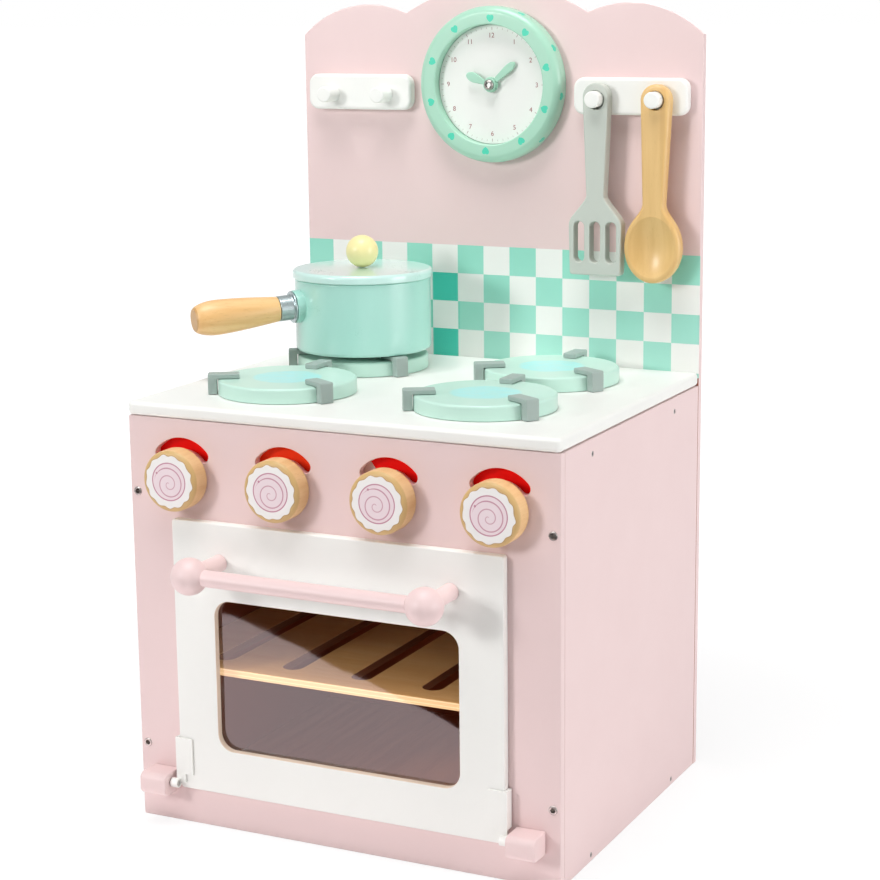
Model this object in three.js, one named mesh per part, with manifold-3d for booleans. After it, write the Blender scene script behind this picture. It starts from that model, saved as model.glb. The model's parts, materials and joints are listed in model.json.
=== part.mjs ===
// A wooden toy oven for a table top: a pink cabinet with a white drop-down door, four knobs, four
// burners, a tall back board with a clock and two hook rails, a saucepan, a spatula and a spoon.
// Millimetres, +Z up. The front faces -Y, and the origin is the middle of the footprint on the floor.

import * as THREE from "three";
import { mergeVertices } from "three/addons/utils/BufferGeometryUtils.js";
import Module from "manifold-3d";

const wasm = await Module();
wasm.setup();

// Driving dimensions
const WIDTH = 300;
const DEPTH = 244;
const CABINET_HEIGHT = 270;
const BOARD = 9;
const THIN_BOARD = 6;
const WORKTOP_BATTEN = 18;
const TOUCH = 0.3; // left between pieces that touch
const FRONT = -DEPTH / 2;
const BACK = DEPTH / 2;
const WORKTOP_THICK = 8.7;
const WORKTOP_TOP = CABINET_HEIGHT + TOUCH + WORKTOP_THICK;
const BACK_BOARD_FRONT = BACK - THIN_BOARD;
const INNER_HALF = WIDTH / 2 - BOARD - TOUCH;
const PANEL_BACK = FRONT + THIN_BOARD;
const BOX_FRONT = PANEL_BACK + TOUCH;
const BOX_BACK = BACK_BOARD_FRONT - TOUCH;

// Back board crest: three round humps, the side ones each with a shoulder at the board's edge
const SIDE_HUMP = { x: 98, z: 449.5, radius: 75 };
const MIDDLE_HUMP = { x: 0, z: 402.5, radius: 134.5 };

// Door, its window and its handle
const DOOR = { half: 116, bottom: 26, top: 206.5, thick: 6.1, gap: 0.4, corner: 2 };
const DOOR_FRONT = FRONT - DOOR.gap - DOOR.thick;
const WINDOW = { half: 86, bottom: 56, top: 156, corner: 11 };
const OPENING = { half: 104, bottom: 41, top: 193, corner: 8 };
const PANE = { thick: 1.6, lip: 7 };
const HINGE = { y: FRONT - 10.4, z: 30.1, pin: 2, pin_depth: 12.5, bore: 2.3, barrel: 3.1 };
const BRACKET = { inner: 121, outer: 140.5, bottom: 21.6, top: 36.3, reach: 18, corner: 4.5 };
const CLIP = { plate: 10.2, tongue: 4.5, barrel: 1, bottom: 35.9, top: 60.5 };
const HANDLE = { x: 81, z: 181.1, y: FRONT - 41.5, ball: 11.8, post: 5.4, bar: 5.3 };

// Knobs, with the crescent that shows the red disc behind each
const KNOB = { radius: 19.8, thick: 15.2, gap: 0.6, z: 232.8, xs: [-110.8, -36.9, 36.9, 110.8] };
const CRESCENT = { outer: 25.3, inner: 17, half_angle: 47.5 };
const SPINDLE = { radius: 4, clearance: 0.6, disc: 27, disc_thick: 1.6, into_knob: 10 };

// Burners and the three pan supports round each
const BURNER = { radius: 45, top: WORKTOP_TOP + 10, xs: [-71, 70.5], ys: [FRONT + 67, FRONT + 171] };
const SUPPORT = { outer: 51.4, inner: 31, leg: 5.9, width: 9.4, finger: 3.2, top: BURNER.top + 3.5 };
const SUPPORT_ANGLES = [210, 90, -31];

// Oven shelf
const SHELF = { top: 106, thick: 5, half: 140, front: FRONT + 8, back: BOX_BACK - 6 };
const SHELF_SLOTS = { xs: [-101, -50.5, 0, 50.5, 101], width: 14, front: 15.5, back: 30 };

// Clock
const CLOCK = { z: 470, outer: 53, inner: 40.6, thick: 12.5 };
const CLOCK_FACE_THICK = 5.2;
const HAND_THICK = 1.8;
const HOUR_ANGLE = -68;
const MINUTE_ANGLE = 50;
const CLOCK_SCREW = { shank: 1.5, head: 3.6 };

// Hook rails with their pegs, and what hangs on the right one
const RAIL = { x: 102, z: 463.1, width: 81, height: 24.6, corner: 7, thick: 8.5 };
const RAIL_FRONT = BACK_BOARD_FRONT - RAIL.thick - TOUCH;
const PEG = { radius: 5.5, offset: 21, reach: 15.8, z: 461.6 };
const LEFT_RAIL = { raised: 1, peg_shorter: 1.8 };
const UTENSIL = { thick: 9, hole: 6.3, back: RAIL_FRONT - TOUCH };
const SPOON_TILT = 0.8;

// Saucepan on the rear left burner
const PAN = { x: BURNER.xs[0] + 1, y: BURNER.ys[1] - 0.7, radius: 46.5, wall: 3, top: 342, edge: 2.5 };
const PAN_BOTTOM = SUPPORT.top + TOUCH;
const LID = { radius: 47.9, thick: 5.9, plug: 3, round: 2 };
const LID_KNOB = { radius: 11.1, rise: 10.9 };
const PAN_HANDLE = {
  angle: -130.5, slope: 3.6, z: 327.5, boss: 11.2, tang: 4, flange_at: 51.1, ferrule_end: 62.1,
  end: 121.5, neck: 8.5, widest: 11.8, butt: 7.5,
};

// Colours
const PINK = 0xeccece;
const WHITE = 0xf4f3ee;
const MINT = 0xaae1d4;
const PALE_MINT = 0xc8f0e1;
const GREY = 0xa5b4af;
const OAK = 0xe6bf82;
const RED = 0xdf0812;
const STEEL = 0xa9adb0;
const CREAM = 0xf8ecb0;
const SMOKE = 0x4a2a22;
const SILVER = 0xc3c8c6;
const BEECH = 0xe6be78;

const radians = (degrees) => (degrees * Math.PI) / 180;

function material(color, roughness = 0.55, metalness = 0) {
  return new THREE.MeshStandardMaterial({ color, roughness, metalness });
}

function piece(name, geometry, look) {
  const mesh = new THREE.Mesh(geometry, look);
  mesh.name = name;
  return mesh;
}

function to_solid(geometry) {
  const bare = geometry.clone();
  bare.deleteAttribute("normal");
  bare.deleteAttribute("uv");
  const merged = mergeVertices(bare, 1e-4);
  return new wasm.Manifold(
    new wasm.Mesh({
      numProp: 3,
      vertProperties: new Float32Array(merged.attributes.position.array),
      triVerts: new Uint32Array(merged.index.array),
    }),
  );
}

function to_geometry(solid) {
  const mesh = solid.getMesh();
  const geometry = new THREE.BufferGeometry();
  geometry.setAttribute("position", new THREE.BufferAttribute(mesh.vertProperties, 3));
  geometry.setIndex(new THREE.BufferAttribute(mesh.triVerts, 1));
  geometry.computeVertexNormals();
  return geometry;
}

// A box given by its lowest and highest corners.
function box(low, high) {
  const size = high.map((value, axis) => value - low[axis]);
  const geometry = new THREE.BoxGeometry(...size);
  geometry.translate(...high.map((value, axis) => (value + low[axis]) / 2));
  return geometry;
}

// A rounded rectangle as a closed path, from its edges and its corner radius.
function rounded(path, left, right, bottom, top, radius) {
  const [east, north] = [0, Math.PI / 2];
  path.absarc(right - radius, bottom + radius, radius, east - Math.PI / 2, east, false);
  path.absarc(right - radius, top - radius, radius, east, north, false);
  path.absarc(left + radius, top - radius, radius, north, Math.PI, false);
  path.absarc(left + radius, bottom + radius, radius, Math.PI, Math.PI * 1.5, false);
  return path;
}

function circle(path, x, y, radius) {
  path.absarc(x, y, radius, 0, Math.PI, false);
  path.absarc(x, y, radius, Math.PI, Math.PI * 2, false);
  return path;
}

// A board cut from an outline, with its edges eased by `ease`. The outline's faces end up `thick` apart.
function extrude(outline, thick, ease = 0, curveSegments = 4) {
  const geometry = new THREE.ExtrudeGeometry(outline, {
    depth: thick - 2 * ease,
    bevelEnabled: ease > 0,
    bevelThickness: ease,
    bevelSize: ease,
    bevelOffset: -ease,
    bevelSegments: 1,
    curveSegments,
  });
  geometry.translate(0, 0, ease);
  return geometry;
}

// An outline drawn in X and Z stands upright here: its front face is at y = front.
function upright(outline, front, thick, ease, curveSegments) {
  const geometry = extrude(outline, thick, ease, curveSegments);
  geometry.rotateX(Math.PI / 2);
  geometry.translate(0, front + thick, 0);
  return geometry;
}

// A profile of [radius, height] pairs turned about +Z.
function turned(profile, segments = 48) {
  const points = profile.map(([r, h]) => new THREE.Vector2(r, h));
  return new THREE.LatheGeometry(points, segments).rotateX(Math.PI / 2);
}

// The same profile turned about -Y, so that its heights run towards the front.
function turned_forward(profile, segments = 48) {
  return turned(profile, segments).rotateX(Math.PI / 2);
}

// Points along a quarter round from one angle to another, as [radius, height] pairs.
function fillet(centre_r, centre_h, radius, from, to, steps = 4) {
  return Array.from({ length: steps + 1 }, (_, i) => {
    const angle = radians(from + ((to - from) * i) / steps);
    return [centre_r + radius * Math.cos(angle), centre_h + radius * Math.sin(angle)];
  });
}

function cylinder_along_x(radius, from, to, y, z, segments = 20) {
  const geometry = new THREE.CylinderGeometry(radius, radius, to - from, segments);
  geometry.rotateZ(Math.PI / 2);
  geometry.translate((from + to) / 2, y, z);
  return geometry;
}

// Cabinet: base, two sides, front panel, worktop, back board and the battens that join them

// A curved slot over a knob: two arcs about the knob's axis, joined by round ends.
function crescent_hole(x) {
  const { outer, inner, half_angle } = CRESCENT;
  const left = Math.PI / 2 + radians(half_angle);
  const right = Math.PI / 2 - radians(half_angle);
  const middle = (outer + inner) / 2;
  const path = new THREE.Path();
  const round_end = (angle, from) => {
    const [end_x, end_z] = [x + middle * Math.cos(angle), KNOB.z + middle * Math.sin(angle)];
    path.absarc(end_x, end_z, (outer - inner) / 2, from, from + Math.PI, false);
  };
  path.absarc(x, KNOB.z, outer, right, left, false);
  round_end(left, left);
  path.absarc(x, KNOB.z, inner, left, right, true);
  round_end(right, right + Math.PI);
  return path;
}

function front_panel() {
  const outline = rounded(new THREE.Shape(), -WIDTH / 2, WIDTH / 2, 0, CABINET_HEIGHT, 1);
  outline.holes.push(
    rounded(new THREE.Path(), -OPENING.half, OPENING.half, OPENING.bottom, OPENING.top, OPENING.corner),
  );
  for (const x of KNOB.xs) {
    outline.holes.push(circle(new THREE.Path(), x, KNOB.z, SPINDLE.radius + SPINDLE.clearance));
    outline.holes.push(crescent_hole(x));
  }
  return upright(outline, FRONT, THIN_BOARD, 0, 3);
}

// Where two circles cross, on the side of the higher z.
function crossing(a, b) {
  const [dx, dz] = [b.x - a.x, b.z - a.z];
  const apart = Math.hypot(dx, dz);
  const along = (a.radius ** 2 - b.radius ** 2 + apart ** 2) / (2 * apart);
  const aside = Math.sqrt(a.radius ** 2 - along ** 2);
  return { x: a.x + (along * dx - aside * dz) / apart, z: a.z + (along * dz + aside * dx) / apart };
}

function back_board() {
  const half = WIDTH / 2;
  const shoulder_z = SIDE_HUMP.z + Math.sqrt(SIDE_HUMP.radius ** 2 - (half - SIDE_HUMP.x) ** 2);
  const valley = crossing(MIDDLE_HUMP, SIDE_HUMP);
  const outline = new THREE.Shape();
  const arc = (hump, side, from, to) => {
    const angle = (x, z) => Math.atan2(z - hump.z, x - side * hump.x);
    outline.absarc(side * hump.x, hump.z, hump.radius, angle(...from), angle(...to), false);
  };
  outline.moveTo(-half, 0);
  outline.lineTo(half, 0);
  arc(SIDE_HUMP, 1, [half, shoulder_z], [valley.x, valley.z]);
  arc(MIDDLE_HUMP, 1, [valley.x, valley.z], [-valley.x, valley.z]);
  arc(SIDE_HUMP, -1, [-valley.x, valley.z], [-half, shoulder_z]);
  return upright(outline, BACK_BOARD_FRONT, THIN_BOARD, 0.6, 10);
}

function worktop() {
  const outline = rounded(new THREE.Shape(), -WIDTH / 2, WIDTH / 2, FRONT - 1, BOX_BACK, 2.5);
  return extrude(outline, WORKTOP_THICK, 2.2, 3).translate(0, 0, CABINET_HEIGHT + TOUCH);
}

function cabinet() {
  const group = new THREE.Group();
  const painted = material(PINK);
  const bare = material(OAK, 0.7);
  const half = WIDTH / 2;
  const low_y = BOX_FRONT;
  const high_y = BOX_BACK;
  const batten_back = high_y - 8;
  const shelf_under = SHELF.top - SHELF.thick - TOUCH;
  group.add(piece("base_panel", box([-INNER_HALF, low_y, 0], [INNER_HALF, high_y, BOARD]), painted));
  for (const [name, side] of [["left", -1], ["right", 1]]) {
    const [inner, outer] = span_on(side, half - BOARD, half);
    const panel = box([inner, low_y, 0], [outer, high_y, CABINET_HEIGHT]);
    const [top_in, top_out] = span_on(side, INNER_HALF - WORKTOP_BATTEN, INNER_HALF);
    const top_batten = box(
      [top_in, low_y + 8, CABINET_HEIGHT - WORKTOP_BATTEN],
      [top_out, batten_back, CABINET_HEIGHT],
    );
    const [low_in, low_out] = span_on(side, INNER_HALF - BOARD, INNER_HALF);
    const shelf_batten = box(
      [low_in, low_y + 14, shelf_under - BOARD],
      [low_out, batten_back, shelf_under],
    );
    group.add(
      piece(`side_panel_${name}`, panel, painted),
      piece(`worktop_batten_${name}`, top_batten, bare),
      piece(`shelf_batten_${name}`, shelf_batten, bare),
    );
  }
  group.add(
    piece("front_panel", front_panel(), painted),
    piece("back_board", back_board(), painted),
    piece("worktop", worktop(), material(WHITE)),
  );
  return group;
}

function oven_shelf() {
  const outline = rounded(new THREE.Shape(), -SHELF.half, SHELF.half, SHELF.front, SHELF.back, 1);
  for (const x of SHELF_SLOTS.xs) {
    const half = SHELF_SLOTS.width / 2;
    const front = SHELF.front + SHELF_SLOTS.front;
    const back = SHELF.back - SHELF_SLOTS.back;
    outline.holes.push(rounded(new THREE.Path(), x - half, x + half, front, back, half - 0.01));
  }
  return extrude(outline, SHELF.thick, 0, 2).translate(0, 0, SHELF.top - SHELF.thick);
}

// Controls: a wooden knob pushed on the spindle of a red disc behind the panel

function knob() {
  const bore = SPINDLE.radius + TOUCH;
  const depth = SPINDLE.into_knob + 0.5;
  return turned_forward([
    [0, depth], [bore, depth], [bore, 0],
    ...fillet(KNOB.radius - 2.5, 2.5, 2.5, -90, 0, 2),
    ...fillet(KNOB.radius - 3, KNOB.thick - 3, 3, 0, 90, 2),
    [0, KNOB.thick],
  ], 28);
}

function indicator() {
  const disc_front = SPINDLE.disc_thick;
  const tip = disc_front + TOUCH + THIN_BOARD + KNOB.gap + SPINDLE.into_knob;
  return turned_forward([
    [0, 0], [SPINDLE.disc, 0], [SPINDLE.disc, disc_front],
    [SPINDLE.radius, disc_front], [SPINDLE.radius, tip], [0, tip],
  ], 24);
}

function controls() {
  const group = new THREE.Group();
  KNOB.xs.forEach((x, index) => {
    const turned_knob = piece(`knob_${index + 1}`, knob(), material(OAK, 0.5));
    turned_knob.position.set(x, FRONT - KNOB.gap, KNOB.z);
    const disc = piece(`indicator_${index + 1}`, indicator(), material(RED, 0.45));
    disc.position.set(x, PANEL_BACK + TOUCH + SPINDLE.disc_thick, KNOB.z);
    group.add(turned_knob, disc);
  });
  return group;
}

// Hob: four discs, each with three steel-grey supports that stand round it

function burner_disc() {
  const thick = BURNER.top - WORKTOP_TOP - TOUCH;
  return turned([
    [0, 0], [BURNER.radius, 0],
    ...fillet(BURNER.radius - 1.8, thick - 1.8, 1.8, 0, 90, 1), [0, thick],
  ], 36);
}

// The support's outline in its own radial plane: x runs outwards and y is up.
function pan_support() {
  const { outer, inner, leg, width, finger, top } = SUPPORT;
  const foot = WORKTOP_TOP + TOUCH;
  const under = top - finger;
  const ease = 0.7;
  const outline = new THREE.Shape();
  outline.moveTo(outer - leg, foot);
  outline.lineTo(outer, foot);
  outline.lineTo(outer, top - ease);
  outline.lineTo(outer - ease, top);
  outline.lineTo(inner + ease, top);
  outline.lineTo(inner, top - ease);
  outline.lineTo(inner, under);
  outline.lineTo(outer - leg, under);
  outline.closePath();
  return extrude(outline, width, 0).translate(0, 0, -width / 2).rotateX(Math.PI / 2);
}

function hob() {
  const group = new THREE.Group();
  const places = [
    ["front_left", 0, 0], ["front_right", 1, 0], ["rear_left", 0, 1], ["rear_right", 1, 1],
  ];
  for (const [place, column, row] of places) {
    const burner = new THREE.Group();
    burner.position.set(BURNER.xs[column], BURNER.ys[row], 0);
    const disc = piece(`burner_${place}`, burner_disc(), material(PALE_MINT));
    disc.position.z = WORKTOP_TOP + TOUCH;
    burner.add(disc);
    SUPPORT_ANGLES.forEach((angle, index) => {
      const support = piece(`pan_support_${place}_${index + 1}`, pan_support(), material(GREY));
      support.rotation.z = radians(angle);
      burner.add(support);
    });
    group.add(burner);
  }
  return group;
}

// Door: a framed panel with a smoked pane behind its window, on two pivots at its lower corners

function door_panel() {
  const { half, bottom, top, corner } = DOOR;
  const outline = rounded(new THREE.Shape(), -half, half, bottom, top, corner);
  outline.holes.push(
    rounded(new THREE.Path(), -WINDOW.half, WINDOW.half, WINDOW.bottom, WINDOW.top, WINDOW.corner),
  );
  const board = upright(outline, DOOR_FRONT, DOOR.thick, 0.8, 4);
  const door_back = DOOR_FRONT + DOOR.thick;
  const { lip, thick } = PANE;
  const rebate = box(
    [-WINDOW.half - lip - TOUCH, door_back - thick - TOUCH, WINDOW.bottom - lip - TOUCH],
    [WINDOW.half + lip + TOUCH, door_back + 1, WINDOW.top + lip + TOUCH],
  );
  // The lower rear edge is cut back so that it clears the front panel as the door swings down.
  const swing = new THREE.Shape();
  swing.moveTo(door_back - 3.2, bottom - 1);
  swing.lineTo(door_back + 1, bottom - 1);
  swing.lineTo(door_back + 1, bottom + 6.4);
  swing.closePath();
  const relief = extrude(swing, 2 * half + 4).rotateX(Math.PI / 2).rotateZ(Math.PI / 2);
  relief.translate(-half - 2, 0, 0);
  return to_geometry(to_solid(board).subtract(to_solid(rebate)).subtract(to_solid(relief)));
}

function window_pane() {
  const back = DOOR_FRONT + DOOR.thick;
  const lip = PANE.lip;
  return box(
    [-WINDOW.half - lip, back - PANE.thick, WINDOW.bottom - lip],
    [WINDOW.half + lip, back, WINDOW.top + lip],
  );
}

// Ball on a short post: heights start at the door's face and run forwards.
function handle_post() {
  const reach = DOOR_FRONT - HANDLE.y;
  const join = Math.sqrt(HANDLE.ball ** 2 - HANDLE.post ** 2);
  const start = -Math.atan2(join, HANDLE.post) * (180 / Math.PI);
  return turned_forward([
    [0, TOUCH], [HANDLE.post, TOUCH],
    ...fillet(0, reach, HANDLE.ball, start, 90, 9).slice(0, -1), [0, reach + HANDLE.ball],
  ], 24);
}

// The bar's ends are hollowed to sit against the balls.
function handle_bar() {
  const seat = HANDLE.ball + TOUCH;
  const end = [0, HANDLE.bar / 2, HANDLE.bar].map((r) => [r, HANDLE.x - Math.sqrt(seat ** 2 - r ** 2)]);
  const profile = [...end.map(([r, x]) => [r, -x]), ...end.reverse()];
  return turned(profile, 24).rotateY(Math.PI / 2).translate(0, HANDLE.y, HANDLE.z);
}

// Orders two distances from the middle of the object as a span of x on the left or the right.
function span_on(side, near, far) {
  return side > 0 ? [near, far] : [-far, -near];
}

// Pink block with two rounded front edges on the front panel. Its blind bore holds the pivot pin.
function hinge_bracket(side) {
  const { inner, outer, bottom, top, reach, corner } = BRACKET;
  const profile = new THREE.Shape();
  profile.moveTo(FRONT - TOUCH, bottom);
  profile.lineTo(FRONT - TOUCH, top);
  profile.absarc(FRONT - reach + corner, top - corner, corner, Math.PI / 2, Math.PI, false);
  profile.absarc(FRONT - reach + corner, bottom + corner, corner, Math.PI, Math.PI * 1.5, false);
  profile.closePath();
  const block = extrude(profile, outer - inner, 0.8, 6).rotateX(Math.PI / 2).rotateZ(Math.PI / 2);
  block.translate(side > 0 ? inner : -outer, 0, 0);
  const [from, to] = span_on(side, inner - 1, inner + HINGE.pin_depth + 0.5);
  const bore = cylinder_along_x(HINGE.bore, from, to, HINGE.y, HINGE.z);
  return to_geometry(to_solid(block).subtract(to_solid(bore)));
}

function hinge_pin(side) {
  const [from, to] = span_on(side, DOOR.half - CLIP.barrel + 0.5, BRACKET.inner + HINGE.pin_depth);
  return cylinder_along_x(HINGE.pin, from, to, HINGE.y, HINGE.z, 16);
}

// White clip on the door's lower corner: a plate in front, a flange over the side and a short barrel.
function corner_clip(side) {
  const plate_back = DOOR_FRONT - TOUCH;
  const plate_front = plate_back - 1.3;
  const door_back = DOOR_FRONT + DOOR.thick;
  const edge = DOOR.half + TOUCH;
  const beyond = edge + 1.9;
  const { bottom: low, top: high } = CLIP;
  const [plate_l, plate_r] = span_on(side, DOOR.half - CLIP.plate, beyond);
  const [flange_l, flange_r] = span_on(side, edge, beyond);
  const [tongue_l, tongue_r] = span_on(side, DOOR.half - CLIP.tongue, beyond);
  const [barrel_l, barrel_r] = span_on(side, DOOR.half - CLIP.barrel, BRACKET.inner - 1);
  const body = [
    box([plate_l, plate_front, low], [plate_r, plate_back, high]),
    box([flange_l, plate_front, low], [flange_r, door_back - 0.6, high]),
    box([tongue_l, plate_front, HINGE.z], [tongue_r, plate_back, low + 1]),
    cylinder_along_x(HINGE.barrel, barrel_l, barrel_r, HINGE.y, HINGE.z),
  ].map(to_solid);
  const bore = to_solid(cylinder_along_x(HINGE.bore, barrel_l - 1, barrel_r + 1, HINGE.y, HINGE.z));
  return to_geometry(body.reduce((whole, part) => whole.add(part)).subtract(bore));
}

function door() {
  const group = new THREE.Group();
  const white = material(WHITE);
  const pink = material(PINK);
  const smoked = material(SMOKE, 0.1);
  group.add(
    piece("door_panel", door_panel(), white),
    piece("window_pane", window_pane(), smoked),
    piece("door_handle_bar", handle_bar(), pink),
  );
  for (const [name, side] of [["left", -1], ["right", 1]]) {
    const post = piece(`door_handle_post_${name}`, handle_post(), pink);
    post.position.set(side * HANDLE.x, DOOR_FRONT, HANDLE.z);
    group.add(
      post,
      piece(`hinge_bracket_${name}`, hinge_bracket(side), pink),
      piece(`hinge_pin_${name}`, hinge_pin(side), material(STEEL, 0.3, 1)),
      piece(`door_corner_clip_${name}`, corner_clip(side), white),
    );
  }
  return group;
}

// Clock: a turned ring, a sunk face and two hands on one screw

function clock_ring() {
  return turned_forward([
    [CLOCK.inner, 0], [CLOCK.outer - 0.8, 0], [CLOCK.outer, 0.8],
    ...fillet(CLOCK.outer - 5.5, CLOCK.thick - 5.5, 5.5, 0, 90, 3),
    [CLOCK.inner, CLOCK.thick], [CLOCK.inner, 0],
  ], 40);
}

function clock_face() {
  const bore = CLOCK_SCREW.shank + TOUCH;
  const rim = CLOCK.inner - TOUCH;
  const front = CLOCK_FACE_THICK;
  return turned_forward([[bore, 0], [rim, 0], [rim, front], [bore, front], [bore, 0]], 40);
}

// A hand drawn pointing up: a round eye, a narrow neck and a leaf that ends in a blunt tip.
function clock_hand(eye, neck, leaf, shoulder, length) {
  const outline = new THREE.Shape();
  const open = Math.asin(neck / eye);
  outline.absarc(0, 0, eye, Math.PI / 2 + open, Math.PI * 2.5 - open, false);
  outline.lineTo(leaf, shoulder);
  outline.quadraticCurveTo(leaf, length - leaf * 0.6, leaf * 0.25, length);
  outline.lineTo(-leaf * 0.25, length);
  outline.quadraticCurveTo(-leaf, length - leaf * 0.6, -leaf, shoulder);
  outline.closePath();
  outline.holes.push(circle(new THREE.Path(), 0, 0, CLOCK_SCREW.shank + TOUCH));
  return extrude(outline, HAND_THICK, 0, 6).rotateX(Math.PI / 2);
}

function clock_screw() {
  const { shank, head } = CLOCK_SCREW;
  const end = CLOCK.thick - 0.1;
  return turned_forward([
    [0, TOUCH], [shank, TOUCH], [shank, end - 1.7], [head, end - 1.7],
    ...fillet(head - 1.2, end - 1.2, 1.2, 0, 90, 2), [0, end],
  ], 16);
}

function clock() {
  const group = new THREE.Group();
  group.position.set(0, BACK_BOARD_FRONT - TOUCH, CLOCK.z);
  const mint = material(MINT);
  const ring = piece("clock_ring", clock_ring(), mint);
  const face = piece("clock_face", clock_face(), material(WHITE));
  const minute = piece("minute_hand", clock_hand(5.2, 1.6, 2.7, 16, 23.2), mint);
  minute.position.y = -CLOCK_FACE_THICK - 1.3;
  minute.rotation.y = radians(MINUTE_ANGLE);
  const hour = piece("hour_hand", clock_hand(4.6, 1.5, 3.3, 12, 18.5), mint);
  hour.position.y = minute.position.y - HAND_THICK - TOUCH;
  hour.rotation.y = radians(HOUR_ANGLE);
  const screw = piece("clock_screw", clock_screw(), material(STEEL, 0.3, 1));
  group.add(ring, face, minute, hour, screw);
  return group;
}

// Hook rails, spatula and spoon

function hook_rail(x, raised, peg_shorter) {
  const { width, height, corner, thick } = RAIL;
  const bottom = RAIL.z + raised - height / 2;
  const outline = rounded(new THREE.Shape(), x - width / 2, x + width / 2, bottom, bottom + height, corner);
  const plate = to_solid(upright(outline, RAIL_FRONT, thick, 1.6, 3));
  const pegs = [-1, 1].map((side) => {
    const tip = PEG.reach - peg_shorter + 1;
    const peg = turned_forward([
      [0, 0], [PEG.radius, 0], ...fillet(PEG.radius - 0.9, tip - 0.9, 0.9, 0, 90, 1), [0, tip],
    ], 24);
    return to_solid(peg.translate(x + side * PEG.offset, RAIL_FRONT + 1, PEG.z + raised));
  });
  return to_geometry(plate.add(pegs[0]).add(pegs[1]));
}

// What hangs on a peg has its origin at its hole, whose top rests on the peg.
const HOLE_Z = PEG.z - (UTENSIL.hole - PEG.radius - TOUCH);

// Cuts the peg's hole through a utensil drawn upright with its front at y = 0.
function with_hole(blank) {
  const bore = new THREE.CylinderGeometry(UTENSIL.hole, UTENSIL.hole, 3 * UTENSIL.thick, 28);
  return to_geometry(blank.subtract(to_solid(bore)));
}

function spatula() {
  const [handle, neck, blade] = [9.1, 6.3, 19];
  const top = 11.2;
  const [neck_z, shoulder_z, blade_z, round] = [-63.5, -80, -117.3, 3];
  const outline = new THREE.Shape();
  outline.absarc(0, top - handle, handle, 0, Math.PI, false);
  outline.lineTo(-neck, neck_z);
  outline.quadraticCurveTo(-neck - 1, neck_z - 4, -blade + 4, shoulder_z + 4);
  outline.quadraticCurveTo(-blade, shoulder_z, -blade, shoulder_z - 5);
  outline.lineTo(-blade + 0.7, blade_z + round);
  outline.quadraticCurveTo(-blade + 0.7, blade_z, -blade + round, blade_z);
  outline.lineTo(blade - round, blade_z);
  outline.quadraticCurveTo(blade - 0.7, blade_z, blade - 0.7, blade_z + round);
  outline.lineTo(blade, shoulder_z - 5);
  outline.quadraticCurveTo(blade, shoulder_z, blade - 4, shoulder_z + 4);
  outline.quadraticCurveTo(neck + 1, neck_z - 4, neck, neck_z);
  outline.closePath();
  for (const x of [-11.5, 0, 11.5]) {
    outline.holes.push(rounded(new THREE.Path(), x - 3.9, x + 3.9, blade_z + 8.5, shoulder_z - 1, 3.89));
  }
  return with_hole(to_solid(upright(outline, 0, UTENSIL.thick, 0.8, 3)));
}

function spoon() {
  const [handle, neck] = [10.4, 7.6];
  const top = 10.6;
  const bowl = { half: 19.9, z: -97.4, up: 28, down: 23.6 };
  const neck_z = -68;
  const shoulder_z = bowl.z + bowl.up * 0.62;
  const cheek_z = bowl.z - bowl.down * 0.58;
  const end_z = bowl.z - bowl.down;
  const outline = new THREE.Shape();
  outline.absarc(0, top - handle, handle, 0, Math.PI, false);
  outline.lineTo(-neck, neck_z);
  outline.bezierCurveTo(-neck, neck_z - 8, -bowl.half, shoulder_z, -bowl.half, bowl.z);
  outline.bezierCurveTo(-bowl.half, cheek_z, -bowl.half * 0.52, end_z, 0, end_z);
  outline.bezierCurveTo(bowl.half * 0.52, end_z, bowl.half, cheek_z, bowl.half, bowl.z);
  outline.bezierCurveTo(bowl.half, shoulder_z, neck, neck_z - 8, neck, neck_z);
  outline.closePath();
  const blank = to_solid(upright(outline, 0, UTENSIL.thick, 1.8, 7));
  const scoop = new THREE.SphereGeometry(1, 28, 16);
  scoop.scale(bowl.half - 3.2, 6, bowl.down - 2.6);
  scoop.translate(0, -0.5, bowl.z + 0.4);
  return with_hole(blank.subtract(to_solid(scoop)));
}

function rails() {
  const group = new THREE.Group();
  const white = material(WHITE);
  const hang_y = UTENSIL.back - UTENSIL.thick;
  group.add(
    piece("hook_rail_left", hook_rail(-RAIL.x, LEFT_RAIL.raised, LEFT_RAIL.peg_shorter), white),
    piece("hook_rail_right", hook_rail(RAIL.x, 0, 0), white),
  );
  const turner = piece("spatula", spatula(), material(SILVER));
  turner.position.set(RAIL.x - PEG.offset, hang_y, HOLE_Z);
  const ladle = piece("spoon", spoon(), material(BEECH));
  ladle.position.set(RAIL.x + PEG.offset, hang_y, HOLE_Z);
  ladle.rotation.y = radians(SPOON_TILT);
  group.add(turner, ladle);
  return group;
}

// Saucepan: body with a boss, ferrule, wooden handle, lid and its ball knob

// Turns a piece drawn along +X at the pan's axis to the handle's direction, sloping down outwards.
function along_handle(geometry) {
  const { angle, slope, z } = PAN_HANDLE;
  return geometry.rotateY(radians(slope)).rotateZ(radians(angle)).translate(PAN.x, PAN.y, z);
}

// A profile of [radius, distance from the pan's axis] pairs turned about the handle's line.
function turned_outwards(profile, segments) {
  return along_handle(turned(profile, segments).rotateY(Math.PI / 2));
}

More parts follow.
